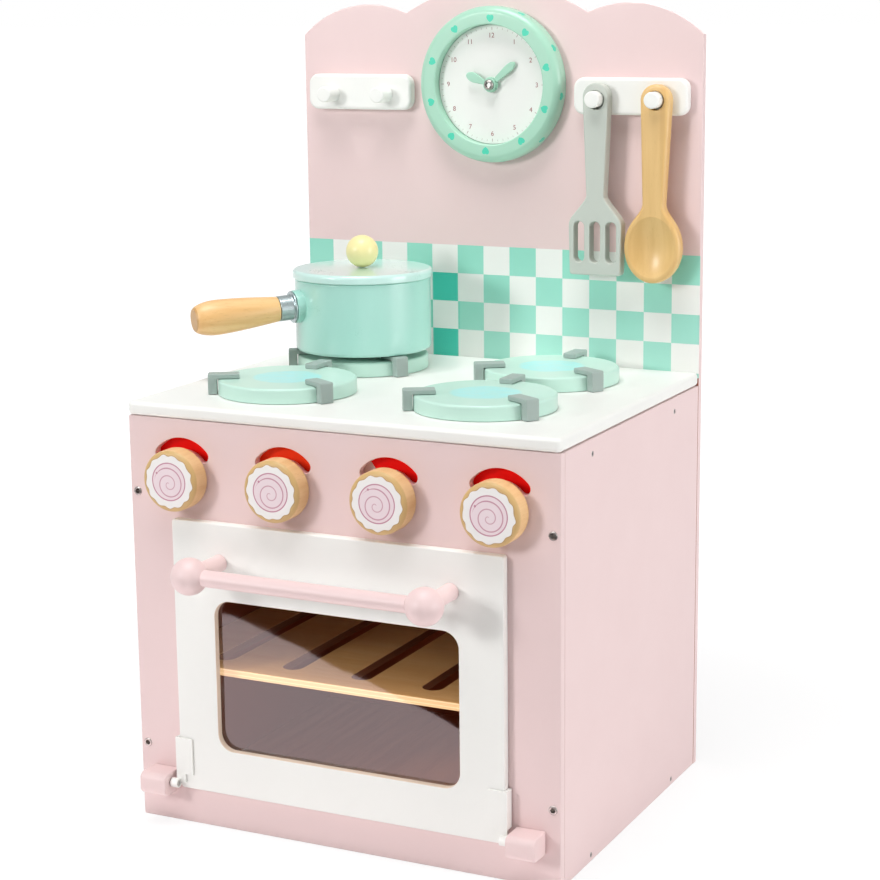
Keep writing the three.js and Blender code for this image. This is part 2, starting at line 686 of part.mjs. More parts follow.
function pan_body() {
  const { radius, wall, top, edge } = PAN;
  const outside = turned([
    [0, PAN_BOTTOM], ...fillet(radius - edge, PAN_BOTTOM + edge, edge, -90, 0, 3),
    [radius, top], [0, top],
  ], 40);
  const inner = radius - wall;
  const floor = PAN_BOTTOM + wall;
  const inside = turned([
    [0, floor], ...fillet(inner - 3, floor + 3, 3, -90, 0, 1), [inner, top + 1], [0, top + 1],
  ], 40);
  outside.translate(PAN.x, PAN.y, 0);
  inside.translate(PAN.x, PAN.y, 0);
  const { boss, flange_at, tang } = PAN_HANDLE;
  const boss_start = inner - 9.5;
  const boss_end = flange_at - TOUCH;
  const stub = turned_outwards([
    [0, boss_start], [boss, boss_start],
    ...fillet(boss - 0.6, boss_end - 0.6, 0.6, 0, 90, 2), [0, boss_end],
  ], 24);
  const bore_start = radius - 0.8;
  const bore_radius = tang + TOUCH;
  const bore = turned_outwards([
    [0, bore_start], [bore_radius, bore_start], [bore_radius, flange_at + 1], [0, flange_at + 1],
  ], 16);
  const whole = to_solid(outside).add(to_solid(stub));
  return to_geometry(whole.subtract(to_solid(inside)).subtract(to_solid(bore)));
}

function pan_ferrule() {
  const { flange_at, ferrule_end, neck, tang } = PAN_HANDLE;
  const bore = tang + TOUCH;
  return turned_outwards([
    [bore, flange_at], [10.8, flange_at], [10.8, flange_at + 1.2], [neck, flange_at + 1.4],
    [neck, ferrule_end], [bore, ferrule_end], [bore, flange_at],
  ], 24);
}

// The grip swells from its neck, then narrows to a flat butt. Its tang runs back into the boss.
function pan_handle() {
  const { ferrule_end, end, neck, tang, widest, butt } = PAN_HANDLE;
  const start = ferrule_end + TOUCH;
  const grip = new THREE.SplineCurve([
    new THREE.Vector2(neck, start), new THREE.Vector2(neck + 1.2, start + 13),
    new THREE.Vector2(widest - 0.6, end - 26), new THREE.Vector2(widest, end - 16),
    new THREE.Vector2(widest - 1, end - 5), new THREE.Vector2(butt, end),
  ]).getPoints(20).map((point) => [point.x, point.y]);
  return turned_outwards([
    [0, PAN.radius], [tang, PAN.radius], [tang, start], ...grip, [0, end],
  ], 24);
}

function pan_lid() {
  const { radius, thick, plug, round } = LID;
  const low = PAN.top + TOUCH;
  const high = low + thick;
  const plug_radius = PAN.radius - PAN.wall - 1;
  return turned([
    [0, low - plug], [plug_radius, low - plug], [plug_radius, low],
    [radius, low], ...fillet(radius - round, high - round, round, 0, 90, 2), [0, high],
  ], 40).translate(PAN.x, PAN.y, 0);
}

function lid_knob() {
  const seat = PAN.top + TOUCH + LID.thick + TOUCH;
  const { radius, rise } = LID_KNOB;
  const start = -Math.asin(rise / radius) * (180 / Math.PI);
  const flat = radius * Math.cos(radians(start));
  const ball = fillet(0, seat + rise, radius, start, 90, 9).slice(1, -1);
  const profile = [[0, seat], [flat, seat], ...ball, [0, seat + rise + radius]];
  return turned(profile, 24).translate(PAN.x, PAN.y, 0);
}

function saucepan() {
  const group = new THREE.Group();
  const mint = material(MINT);
  group.add(
    piece("pan_body", pan_body(), mint),
    piece("pan_ferrule", pan_ferrule(), material(GREY, 0.45)),
    piece("pan_handle", pan_handle(), material(OAK, 0.5)),
    piece("pan_lid", pan_lid(), mint),
    piece("lid_knob", lid_knob(), material(CREAM)),
  );
  return group;
}

const group = new THREE.Group();
const shelf = piece("oven_shelf", oven_shelf(), material(OAK, 0.7));
group.add(cabinet(), shelf, controls(), hob(), door(), clock(), rails(), saucepan());

export default group;
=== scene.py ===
"""Dresses a packed wooden toy oven in Blender: its boards, paints, woods, prints and smoked window.

Sizes are in millimetres until a mesh is made, except in the studio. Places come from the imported
nodes where they can.
"""

import functools
import json
import logging
import math
from dataclasses import dataclass, field
from enum import Enum
from typing import Any, Callable, Sequence

import bmesh
import bpy
import numpy as np
from bpy.types import Material, Node, NodeSocket as Socket, Object
from mathutils import Matrix, Vector
from mathutils.geometry import tessellate_polygon

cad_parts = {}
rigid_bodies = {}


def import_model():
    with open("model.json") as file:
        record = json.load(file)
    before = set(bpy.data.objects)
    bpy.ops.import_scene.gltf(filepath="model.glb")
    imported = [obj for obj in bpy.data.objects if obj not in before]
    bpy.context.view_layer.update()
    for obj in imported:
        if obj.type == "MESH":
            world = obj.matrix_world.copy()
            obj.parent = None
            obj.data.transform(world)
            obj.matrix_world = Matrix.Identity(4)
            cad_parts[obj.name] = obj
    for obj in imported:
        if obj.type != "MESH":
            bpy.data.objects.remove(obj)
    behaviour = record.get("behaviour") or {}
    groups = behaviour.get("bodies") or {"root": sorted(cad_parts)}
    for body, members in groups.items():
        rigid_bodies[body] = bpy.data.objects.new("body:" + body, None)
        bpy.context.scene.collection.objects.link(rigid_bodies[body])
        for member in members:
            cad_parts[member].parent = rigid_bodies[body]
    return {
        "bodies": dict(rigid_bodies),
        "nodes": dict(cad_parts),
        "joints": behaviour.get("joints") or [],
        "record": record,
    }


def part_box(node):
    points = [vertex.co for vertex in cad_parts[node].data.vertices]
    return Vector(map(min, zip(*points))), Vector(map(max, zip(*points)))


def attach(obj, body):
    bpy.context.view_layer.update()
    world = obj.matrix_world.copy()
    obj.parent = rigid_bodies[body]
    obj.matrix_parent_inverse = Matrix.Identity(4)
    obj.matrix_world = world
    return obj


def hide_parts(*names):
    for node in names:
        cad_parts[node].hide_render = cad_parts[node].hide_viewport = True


LOG = logging.getLogger("toy_oven")
MM = 0.001
TAU = 2 * math.pi
Array = np.ndarray
Triple = tuple[float, float, float]
Pair = tuple[float, float]
Colour = tuple[float, float, float, float]
UPWARD = (0.0, 0.0, 1.0)
# A point this many millimetres off a face still takes the face's print.
HAIR = 0.3
# Points closer than this, in millimetres, are welded.
WELD = 0.002
# Edges that bend by more degrees than this stay sharp.
SHARP_FROM = 38.0


def display(red: float, green: float, blue: float) -> Colour:
    """Turn a display colour into the linear colour that shaders take.

    Args:
        red, green, blue: its parts, 0 to 255.

    Returns:
        The linear colour, with an alpha of 1.
    """
    shown = np.array([red, green, blue]) / 255
    light = np.where(shown <= 0.04045, shown / 12.92, ((shown + 0.055) / 1.055) ** 2.4)
    return (*light.tolist(), 1.0)


def shade(colour: Colour, factor: float) -> Colour:
    """Return a linear colour made darker or lighter by a factor."""
    return (*(min(part * factor, 1.0) for part in colour[:3]), 1.0)


class Tone(Enum):
    """The colours that the pieces are painted, printed or cut in."""

    PINK = display(238, 212, 211)
    WHITE = display(247, 247, 243)
    CREAM_EDGE = display(244, 224, 204)
    RING_MINT = display(171, 219, 195)
    PAN_MINT = display(174, 224, 212)
    # A paler mint than the pan's: partly the lid's own paint, partly painted light for the light and
    # reflection that its top catches from above.
    LID_LIT_MINT = display(202, 236, 229)
    PALE_MINT = display(199, 234, 220)
    CYAN = display(174, 239, 238)
    TILE_GREEN = display(150, 223, 203)
    TILE_PALE = display(178, 233, 218)
    # A deeper turquoise for the tiles beside the saucepan: painted shade and reflection of the saucepan.
    TILE_PAN_SHADE = display(52, 204, 182)
    TURQUOISE = display(60, 212, 178)
    SUPPORT_GREY = display(160, 176, 170)
    SILVER_GREY = display(200, 206, 197)
    YELLOW = display(244, 232, 170)
    RED = display(255, 12, 4)
    ORANGE_RED = display(255, 62, 20)
    DISC_BARE = display(222, 194, 188)
    RAW_BOARD = display(170, 98, 76)
    RAW_LIGHT = display(196, 130, 96)
    RAW_DARK = display(178, 112, 80)
    BEECH_LIGHT = display(240, 204, 152)
    BEECH_DARK = display(222, 178, 122)
    GRIP_LIGHT = display(245, 205, 148)
    GRIP_DARK = display(228, 176, 112)
    SPOON_LIGHT = display(234, 195, 131)
    SPOON_DARK = display(221, 177, 110)
    BIRCH_LIGHT = display(250, 228, 186)
    BIRCH_DARK = display(238, 204, 154)
    PLY_PALE = display(255, 250, 236)
    PLY_LAYER = display(224, 192, 150)
    PLY_GLUE = display(160, 118, 86)
    # The dark of the edges inside the oven, the slots' walls among them: painted shade.
    PLY_SHADE = display(116, 62, 46)
    CAKE_WHITE = display(246, 242, 240)
    CAKE_PINK = display(241, 222, 227)
    CAKE_LINE = display(196, 132, 152)
    CAKE_RIM = display(206, 170, 112)
    CAKE_CRUST = display(158, 112, 66)
    NUMERAL = display(160, 82, 86)
    TICK = display(178, 150, 148)
    FLOOR_LIGHT = display(246, 246, 246)
    FLOOR_DARK = display(242, 242, 242)


# Shaders


def joining(operation: str, flipped: bool = False) -> Callable[["Signal", Any], "Signal"]:
    """Make the method of an operator, which adds one Math node.

    Args:
        operation: the node's operation.
        flipped: whether the other term comes first, as in a reflected form.

    Returns:
        The method.
    """

    def join(self: "Signal", other: "Signal | float") -> "Signal":
        """Return the operation's result."""
        terms = (other, self) if flipped else (self, other)
        return self.graph.math(operation, *terms)

    return join


class Signal:
    """A number that varies over a surface: a node's output that takes part in Python arithmetic.

    A comparison is 1 where it holds and 0 elsewhere, and a remainder is never negative.
    """

    def __init__(self, graph: "Graph", socket: Socket) -> None:
        """Wrap an output socket of a graph."""
        self.graph = graph
        self.socket = socket

    __add__ = __radd__ = joining("ADD")
    __mul__ = __rmul__ = joining("MULTIPLY")
    __sub__, __rsub__ = joining("SUBTRACT"), joining("SUBTRACT", flipped=True)
    __truediv__, __rtruediv__ = joining("DIVIDE"), joining("DIVIDE", flipped=True)
    __mod__ = joining("FLOORED_MODULO")
    __lt__, __gt__ = joining("LESS_THAN"), joining("GREATER_THAN")

    def __abs__(self) -> "Signal":
        """Return the size without the sign."""
        return self.graph.math("ABSOLUTE", self)

    def floor(self) -> "Signal":
        """Return the whole steps below this."""
        return self.graph.math("FLOOR", self)

    def root(self) -> "Signal":
        """Return the square root."""
        return self.graph.math("SQRT", self)

    def wave(self) -> "Signal":
        """Return the cosine."""
        return self.graph.math("COSINE", self)

    def soft(self, low: float, high: float) -> "Signal":
        """Return a smooth step from 0 at low to 1 at high.

        Args:
            low: where the step starts; it may be more than high, for a step down.
            high: where it ends.

        Returns:
            The step as a signal.
        """
        low_end, high_end = sorted((low, high))
        first, last = (0.0, 1.0) if low <= high else (1.0, 0.0)
        made = self.graph.node(
            "ShaderNodeMapRange",
            {"interpolation_type": "SMOOTHSTEP", "clamp": True},
            {"Value": self, "From Min": low_end, "From Max": high_end, "To Min": first, "To Max": last},
        )
        return Signal(self.graph, made.outputs["Result"])


def distance(x: Signal, y: Signal) -> Signal:
    """Return the distance (x * x + y * y)^0.5."""
    return (x * x + y * y).root()


class Graph:
    """The node tree of one new material."""

    def __init__(self, name: str) -> None:
        """Make an empty material of this name."""
        self.material = bpy.data.materials.new(name)
        self.material.use_nodes = True
        self.tree = self.material.node_tree
        self.tree.nodes.clear()

    def node(
        self,
        kind: str,
        settings: dict[str, Any] | None = None,
        values: dict[str | int, Any] | None = None,
    ) -> Node:
        """Make any node.

        Args:
            kind: the node's type.
            settings: the node's own properties, set first.
            values: values, signals or output sockets for its inputs, by name or number.

        Returns:
            The node.
        """
        made = self.tree.nodes.new(kind)
        for key, value in (settings or {}).items():
            setattr(made, key, value)
        for key, value in (values or {}).items():
            source = value.socket if isinstance(value, Signal) else value
            if isinstance(source, Socket):
                self.tree.links.new(source, made.inputs[key])
            else:
                socket = made.inputs[key]
                socket.default_value = source[:3] if socket.type == "VECTOR" else source
        return made

    def math(self, operation: str, *terms: Signal | float) -> Signal:
        """Return a Math node's result for one to three terms."""
        made = self.node("ShaderNodeMath", {"operation": operation}, dict(enumerate(terms)))
        return Signal(self, made.outputs[0])

    def vector(self, operation: str, *terms: Any, **named: Any) -> Node:
        """Return a Vector Math node for one or two vectors, and for a Scale by name."""
        values = {**dict(enumerate(terms)), **named}
        return self.node("ShaderNodeVectorMath", {"operation": operation}, values)

    def place(self, origin: Triple = (0.0, 0.0, 0.0)) -> Socket:
        """Return the surface point's place in millimetres from an origin, as a vector."""
        coordinates = self.node("ShaderNodeTexCoord")
        scaled = self.vector("SCALE", coordinates.outputs["Object"], Scale=1 / MM)
        return self.vector("SUBTRACT", scaled.outputs[0], origin).outputs[0]

    def split(self, vector: Socket) -> tuple[Signal, Signal, Signal]:
        """Return a vector's three parts."""
        parts = self.node("ShaderNodeSeparateXYZ", values={0: vector})
        x, y, z = (Signal(self, output) for output in parts.outputs)
        return x, y, z

    def reach(self, vector: Socket, along: Triple) -> Signal:
        """Return how far a vector reaches along a unit direction."""
        return Signal(self, self.vector("DOT_PRODUCT", vector, along).outputs["Value"])

    def stretched(self, vector: Socket, along: Triple, squeeze: float) -> Socket:
        """Return a vector whose part along a direction is scaled, which draws noise out into grain.

        Args:
            vector: places in millimetres.
            along: unit direction of the grain.
            squeeze: factor on the part along the grain, under 1 to lengthen it.

        Returns:
            place + direction * (squeeze - 1) * (place . direction).
        """
        pull = self.vector("SCALE", along, Scale=self.reach(vector, along) * (squeeze - 1))
        return self.vector("ADD", vector, pull.outputs[0]).outputs[0]

    def noise(self, vector: Socket, size: float, detail: float = 2.0, warp: float = 0.0) -> Signal:
        """Make smooth noise.

        Args:
            vector: places in millimetres.
            size: about how wide its blotches are.
            detail: how many finer layers it has.
            warp: how far it is distorted.

        Returns:
            The noise as a signal from 0 to 1.
        """
        made = self.node(
            "ShaderNodeTexNoise",
            values={"Vector": vector, "Scale": 1 / size, "Detail": detail, "Distortion": warp},
        )
        return Signal(self, made.outputs["Fac"])

    def mix(self, factor: Signal | float, low: Any, high: Any) -> Socket:
        """Return the colour between two colours, the second where the factor is 1."""
        made = self.node("ShaderNodeMix", {"data_type": "RGBA"}, {0: factor, 6: low, 7: high})
        return made.outputs[2]

    def dim(self, colour: Any, factor: Signal) -> Socket:
        """Return a colour multiplied by a signal."""
        return self.vector("SCALE", colour, Scale=factor).outputs[0]

    def bump(self, height: Signal) -> Socket:
        """Return the normal of a surface raised by a height in millimetres."""
        made = self.node("ShaderNodeBump", values={"Height": height, "Distance": MM, "Strength": 1.0})
        return made.outputs[0]

    def principled(self, **sockets: Any) -> Node:
        """Return a Principled shader; underscores in names stand for spaces."""
        values = {name.replace("_", " "): value for name, value in sockets.items()}
        return self.node("ShaderNodeBsdfPrincipled", values=values)

    def blend(self, factor: Signal, low: Node, high: Node) -> Socket:
        """Return a mix of two shaders, the second where the factor is 1."""
        values = {0: factor, 1: low.outputs[0], 2: high.outputs[0]}
        return self.node("ShaderNodeMixShader", values=values).outputs[0]

    def finish(self, shader: Socket) -> Material:
        """Put a shader out as the material's surface and return the material."""
        self.node("ShaderNodeOutputMaterial", values={"Surface": shader})
        return self.material


@dataclass(frozen=True)
class Finish:
    """What a piece is coated with or cut from."""

    name: str

    def build(self) -> Material:
        """Make the material."""
        raise NotImplementedError


@functools.cache
def material_of(finish: Finish) -> Material:
    """Return the one material of a finish."""
    return finish.build()


@dataclass(frozen=True)
class Paint(Finish):
    """Satin paint on sanded wood: a faint mottle, the orange peel of a roller and a soft sheen."""

    tone: Tone
    roughness: float = 0.42
    mottle: float = 0.03
    cloud_size: float = 28.0
    peel: float = 0.012
    peel_size: float = 1.1
    specular: float = 0.45
    coat: float = 0.0
    coat_roughness: float = 0.12

    def colour(self, graph: Graph, place: Socket) -> Any:
        """Return the base colour before its mottle. A printed paint has its own version of this.

        Args:
            graph: the material's graph.
            place: places in millimetres.

        Returns:
            A colour, or the socket that gives it.
        """
        return self.tone.value

    def build(self) -> Material:
        """Make the paint from broad and fine noise over the piece's place."""
        graph = Graph(self.name)
        place = graph.place()
        cloud = graph.noise(place, self.cloud_size, 3.0)
        fine = graph.noise(place, self.peel_size, 2.0)
        colour = graph.dim(self.colour(graph, place), 1 - self.mottle * cloud)
        shader = graph.principled(
            Base_Color=colour,
            Roughness=self.roughness + 0.12 * (cloud - 0.5) + 0.06 * (fine - 0.5),
            Specular_IOR_Level=self.specular,
            Coat_Weight=self.coat,
            Coat_Roughness=self.coat_roughness,
            Normal=graph.bump(fine * self.peel),
        )
        return graph.finish(shader.outputs[0])


@dataclass(frozen=True)
class TiledPaint(Paint):
    """Pink paint with a printed band of square tiles on the board's front face, and bare board below."""

    face_y: float = 116.0
    band_low: float = 275.0
    top: float = 358.0
    left: float = -150.0
    tile: float = 20.0
    rows: float = 5.0
    # The column beside the saucepan, and how much of the deeper turquoise its tiles take: painted shade
    # and reflection of the saucepan.
    pan_shade_column: float = 5.5
    pan_shade_share: float = 0.9

    def colour(self, graph: Graph, place: Socket) -> Any:
        """Return the print: green where column plus row is even, white elsewhere, and pink above.

        The green fades from row to row. On the column beside the saucepan, the tiles below the first row
        take a deeper turquoise, which is painted shade and reflection of the saucepan.
        The other faces are pink. Below the band, inside the cabinet, the face is bare.
        """
        x, y, z = graph.split(place)
        across = (x - self.left) / self.tile
        down = (self.top - z) / self.tile
        even = 1 - (across.floor() + down.floor()) % 2.0
        # Painted shade and reflection of the saucepan on the column of tiles beside it.
        near = abs(across - self.pan_shade_column).soft(0.62, 0.42) * down.soft(0.98, 1.02)
        faded = graph.mix(down / self.rows, Tone.TILE_GREEN.value, Tone.TILE_PALE.value)
        green = graph.mix(near * self.pan_shade_share, faded, Tone.TILE_PAN_SHADE.value)
        tiles = graph.mix(even, Tone.WHITE.value, green)
        face = y < self.face_y + HAIR
        printed = graph.mix((down > 0.0) * face, self.tone.value, tiles)
        return graph.mix((z < self.band_low) * face, printed, Tone.RAW_BOARD.value)


@dataclass(frozen=True)
class LinedPaint(Paint):
    """Paint on the outer face and the edges of a side panel, whose inner face is bare board."""

    inner_x: float = 141.0

    def colour(self, graph: Graph, place: Socket) -> Any:
        """Return the bare board's colour on the inner face."""
        x, _, _ = graph.split(place)
        return graph.mix(abs(x) < self.inner_x + HAIR, self.tone.value, Tone.RAW_BOARD.value)


@dataclass(frozen=True)
class FramePaint(Paint):
    """White paint on the door, with the window's cut edge left a warm cream."""

    half: float = 86.0
    bottom: float = 56.0
    top: float = 156.0
    corner: float = 11.0

    def colour(self, graph: Graph, place: Socket) -> Any:
        """Return cream on the window's cut wall and white elsewhere.

        With u and v the distances past the centres of the corners, never negative, a point is on
        the wall where (u * u + v * v)^0.5 is less than the corner's radius and a hair.
        """
        x, _, z = graph.split(place)
        middle, height = (self.bottom + self.top) / 2, self.top - self.bottom
        u = graph.math("MAXIMUM", abs(x) - (self.half - self.corner), 0.0)
        v = graph.math("MAXIMUM", abs(z - middle) - (height / 2 - self.corner), 0.0)
        wall = distance(u, v) < self.corner + HAIR
        return graph.mix(wall, self.tone.value, Tone.CREAM_EDGE.value)


@dataclass(frozen=True)
class BurnerPaint(Paint):
    """Pale mint paint with a printed round heat patch in the middle of the disc."""

    x: float = 0.0
    y: float = 0.0
    patch: float = 22.0
    fade: float = 4.0

    def colour(self, graph: Graph, place: Socket) -> Any:
        """Return cyan within the patch's radius, which a slow noise makes uneven."""
        x, y, _ = graph.split(graph.place((self.x, self.y, 0.0)))
        radius = distance(x, y) + 5 * graph.noise(place, 16.0, 1.0)
        blotch = graph.noise(place, 6.0, 2.0).soft(0.3, 0.7)
        strength = radius.soft(self.patch + self.fade, self.patch) * (0.65 + 0.35 * blotch)
        return graph.mix(strength, self.tone.value, Tone.CYAN.value)


@dataclass(frozen=True)
class SectorPaint(Paint):
    """A disc behind the panel that is red on one side of an edge and pale on the other."""

    x: float = 0.0
    z: float = 0.0
    left_edge: float = 90.0

    def colour(self, graph: Graph, place: Socket) -> Any:
        """Return red to the right of an edge that stands `left_edge` degrees left of straight up."""
        x, _, z = graph.split(graph.place((self.x, 0.0, self.z)))
        angle = math.radians(self.left_edge)
        beyond = x * math.cos(angle) + z * math.sin(angle)
        return graph.mix(beyond.soft(-0.15, 0.15), Tone.DISC_BARE.value, self.tone.value)


@dataclass(frozen=True)
class HeartPaint(Paint):
    """Mint paint on the clock's ring, with small turquoise hearts round its front and its side."""

    x: float = 0.0
    z: float = 470.0
    front_radius: float = 44.3
    outer: float = 53.0
    side_depth: float = 0.7
    side_y: float = 109.5
    count: int = 10
    size: float = 2.3
    front_turn: float = 2.5
    side_turn: float = 8.0

    def heart(self, across: Signal, up: Signal) -> Signal:
        """Return 1 inside the heart (u*u + v*v - 1)^3 < u*u*v*v*v, in heart sizes."""
        u = across / self.size
        v = up / self.size
        round_part = u * u + v * v - 1
        return (round_part * round_part * round_part - u * u * v * v * v) < 0.0

    def colour(self, graph: Graph, place: Socket) -> Any:
        """Return turquoise in hearts at the front radius, and in others between them on the side."""
        x, y, z = graph.split(graph.place((self.x, 0.0, self.z)))
        step = TAU / self.count
        angle = graph.math("ARCTAN2", x, z)
        radius = distance(x, z)
        side_from = self.outer - self.side_depth
        local = (angle + (step / 2 - math.radians(self.front_turn))) % step - step / 2
        front = self.heart(local * radius, radius - self.front_radius) * (radius < side_from)
        between = (angle - math.radians(self.side_turn)) % step - step / 2
        side = self.heart(between * radius, self.side_y - y) * (radius > side_from)
        return graph.mix(graph.math("MAXIMUM", front, side), self.tone.value, Tone.TURQUOISE.value)


@dataclass(frozen=True)
class DialPaint(Paint):
    """White clock face with fine printed minute strokes round its edge."""

    x: float = 0.0
    z: float = 470.0
    inner: float = 37.0
    outer: float = 38.8
    strength: float = 0.8

    def colour(self, graph: Graph, place: Socket) -> Any:
        """Return the stroke colour at every sixth degree between two radii; hour strokes are longer."""
        x, _, z = graph.split(graph.place((self.x, 0.0, self.z)))
        angle = graph.math("ARCTAN2", x, z)
        radius = distance(x, z)

        def strokes(number: int, inner: float, half_width: float) -> Signal:
            """Return radial strokes, `number` to the turn, from one radius to the outer one."""
            step = TAU / number
            aside = abs((angle + step / 2) % step - step / 2) * radius
            return (aside < half_width) * (radius > inner) * (radius < self.outer)

        minutes = strokes(60, self.inner + 0.6, 0.14)
        hours = strokes(12, self.inner - 0.2, 0.24)
        mask = graph.math("MAXIMUM", minutes, hours)
        return graph.mix(mask * self.strength, self.tone.value, Tone.TICK.value)


@dataclass(frozen=True)
class Timber(Finish):
    """Lacquered wood with growth bands and short pores drawn out along its grain, and a darker end."""

    light: Tone
    dark: Tone
    grain: Triple = UPWARD
    band: float = 5.0
    roughness: float = 0.42
    fleck: float = 0.5
    coat: float = 0.0
    end_at: float = 1000.0
    pore_depth: float = 0.02

    def colour(self, graph: Graph, place: Socket) -> tuple[Any, Signal]:
        """Return the wood's colour and the depth of its pores.

        Args:
            graph: the material's graph.
            place: places in millimetres.

        Returns:
            The colour, from bands of stretched noise, and the pores as a signal from 0 to 1.
        """
        drawn = graph.stretched(place, self.grain, 0.06)
        bands = graph.noise(drawn, self.band, 3.0, 0.6)
        pores = graph.noise(graph.stretched(place, self.grain, 0.12), 0.7, 1.0).soft(0.62, 0.74)
        broad = graph.noise(place, 40.0, 1.0)
        bare = graph.mix(bands.soft(0.3, 0.7) * 0.7 + broad * 0.3, self.light.value, self.dark.value)
        end = graph.reach(place, self.grain).soft(self.end_at - 0.2, self.end_at)
        tint = graph.mix(end * 0.7, bare, shade(self.dark.value, 0.66))
        return graph.mix(pores * self.fleck, tint, shade(self.dark.value, 0.72)), pores

    def build(self) -> Material:
        """Make the wood."""
        graph = Graph(self.name)
        colour, pores = self.colour(graph, graph.place())
        shader = graph.principled(
            Base_Color=colour,
            Roughness=self.roughness + 0.14 * pores,
            Specular_IOR_Level=0.4,
            Coat_Weight=self.coat,
            Coat_Roughness=0.2,
            Normal=graph.bump(pores * -self.pore_depth),
        )
        return graph.finish(shader.outputs[0])


@dataclass(frozen=True)
class KnobWood(Timber):
    """A knob's wood, with a printed cake swirl on its front face."""

    x: float = 0.0
    z: float = 0.0
    front: float = 0.0
    turn: float = 0.0
    face_depth: float = 0.25
    frill_depth: float = 1.0
    rim_depth: float = 2.4
    frill: float = 16.8
    lobes: int = 13
    circle: float = 12.0
    swirl_low: float = 1.6
    pitch: float = 4.8
    tail: float = 11.0
    tail_angle: float = 143.0

    def colour(self, graph: Graph, place: Socket) -> tuple[Any, Signal]:
        """Return the wood, its baked rim, and the print over it where the surface is the front face.

        The white ground's edge is frill + 0.5 * cos(lobes * angle), made uneven by a noise, with a
        thin crust round it. A thin circle holds the swirl.
        """
        wood, pores = super().colour(graph, place)
        x, y, z = graph.split(graph.place((self.x, 0.0, self.z)))
        turn = math.radians(self.turn)
        u = x * math.cos(turn) + z * math.sin(turn)
        v = z * math.cos(turn) - x * math.sin(turn)
        radius = distance(u, v)
        face = y < self.front + self.face_depth
        printed = y < self.front + self.frill_depth
        rim_end = self.front + self.rim_depth
        uneven = 3 * graph.noise(place, 9.0, 1.0)
        lobe = (graph.math("ARCTAN2", v, u) * self.lobes + uneven).wave() * 0.5
        edge = radius - lobe - 0.4 * uneven + 0.6
        baked = y.soft(rim_end + 0.3, rim_end - 0.9)
        rim = graph.mix(baked * 0.9, wood, Tone.CAKE_RIM.value)
        ground = edge.soft(self.frill + 0.1, self.frill - 0.1) * printed
        white = graph.mix(ground, rim, Tone.CAKE_WHITE.value)
        crust = abs(edge - self.frill - 0.25).soft(0.4, 0.15) * printed
        edged = graph.mix(crust * 0.4, white, Tone.CAKE_CRUST.value)
        inside = radius.soft(self.circle + 0.1, self.circle - 0.1) * face
        filled = graph.mix(inside, edged, Tone.CAKE_PINK.value)
        circle = abs(radius - self.circle).soft(0.5, 0.25)
        marks = graph.math("MAXIMUM", self.swirl(graph, u, v), circle) * face
        return graph.mix(marks, filled, Tone.CAKE_LINE.value), pores * (1 - ground)

    def swirl(self, graph: Graph, u: Signal, v: Signal) -> Signal:
        """Return the swirl's line, which starts with a dot and gets thinner towards its centre.

        Its centre is a little low. It lies where
        (radius - tail) / pitch - (angle - tail_angle) / 360 is whole.

        Args:
            graph: the material's graph.
            u: millimetres to the right of the knob's centre, in the print's own turn.
            v: millimetres up from it.

        Returns:
            The line as a signal from 0 to 1.
        """
        low = v + self.swirl_low
        radius = distance(u, low)
        start = math.radians(self.tail_angle)
        turns = (radius - self.tail) / self.pitch - (graph.math("ARCTAN2", low, u) - start) / TAU
        aside = abs((turns + 0.5) % 1.0 - 0.5) * self.pitch
        thin = 0.28 + 0.015 * radius
        reach = radius.soft(self.tail, self.tail - 0.15) * radius.soft(0.3, 0.7)
        line = (aside - thin).soft(0.14, -0.14) * reach * (0.62 + 0.025 * radius)
        dot_u = u - self.tail * math.cos(start)
        dot_v = low - self.tail * math.sin(start)
        dot = distance(dot_u, dot_v).soft(0.85, 0.6)
        return graph.math("MAXIMUM", line, dot)


@dataclass(frozen=True)
class Plywood(Timber):
    """Thin birch plywood: pale faces with long grain, and edges that show its layers."""

    low: float = 101.0
    front: float = -114.0
    layer: float = 1.25
    layers: float = 4.0
    edge_depth: float = 2.0

    def colour(self, graph: Graph, place: Socket) -> tuple[Any, Signal]:
        """Return the face's wood, the front edge's layers and glue lines, and the slots' walls and other
        edges behind the front edge, darkened as painted shade.
        """
        wood, pores = super().colour(graph, place)
        _, y, z = graph.split(place)
        level = (z - self.low) / self.layer
        other = abs(level.floor() % 2.0 - 1.0)
        line = abs((level + 0.5) % 1.0 - 0.5).soft(0.1, 0.03)
        glue = line * (level > 0.2) * (level < self.layers - 0.2)
        pale = graph.mix((level < self.layers - 0.1) * 0.75, wood, Tone.PLY_PALE.value)
        layered = graph.mix(other * 0.35, pale, Tone.PLY_LAYER.value)
        glued = graph.mix(glue * 0.5, layered, Tone.PLY_GLUE.value)
        # Painted shade: the slots' walls and the other edges behind the front edge are darkened, as the
        # inside of the oven is dim.
        behind = y > self.front + self.edge_depth
        shaded_walls = behind * (level > 0.1) * (level < self.layers - 0.15)
        return graph.mix(shaded_walls * 0.9, glued, Tone.PLY_SHADE.value), pores


@dataclass(frozen=True)
class Metal(Finish):
    """Brushed or plated metal with a fine uneven polish."""

    tint: Colour = (0.62, 0.62, 0.6, 1.0)
    roughness: float = 0.28
    scratch_size: float = 0.5

    def build(self) -> Material:
        """Make the metal."""
        graph = Graph(self.name)
        scratch = graph.noise(graph.stretched(graph.place(), UPWARD, 0.15), self.scratch_size, 2.0)
        shader = graph.principled(
            Base_Color=graph.mix(scratch, self.tint, shade(self.tint, 0.8)),
            Metallic=1.0,
            Roughness=self.roughness + 0.15 * (scratch - 0.5),
            Normal=graph.bump(scratch * 0.004),
        )
        return graph.finish(shader.outputs[0])


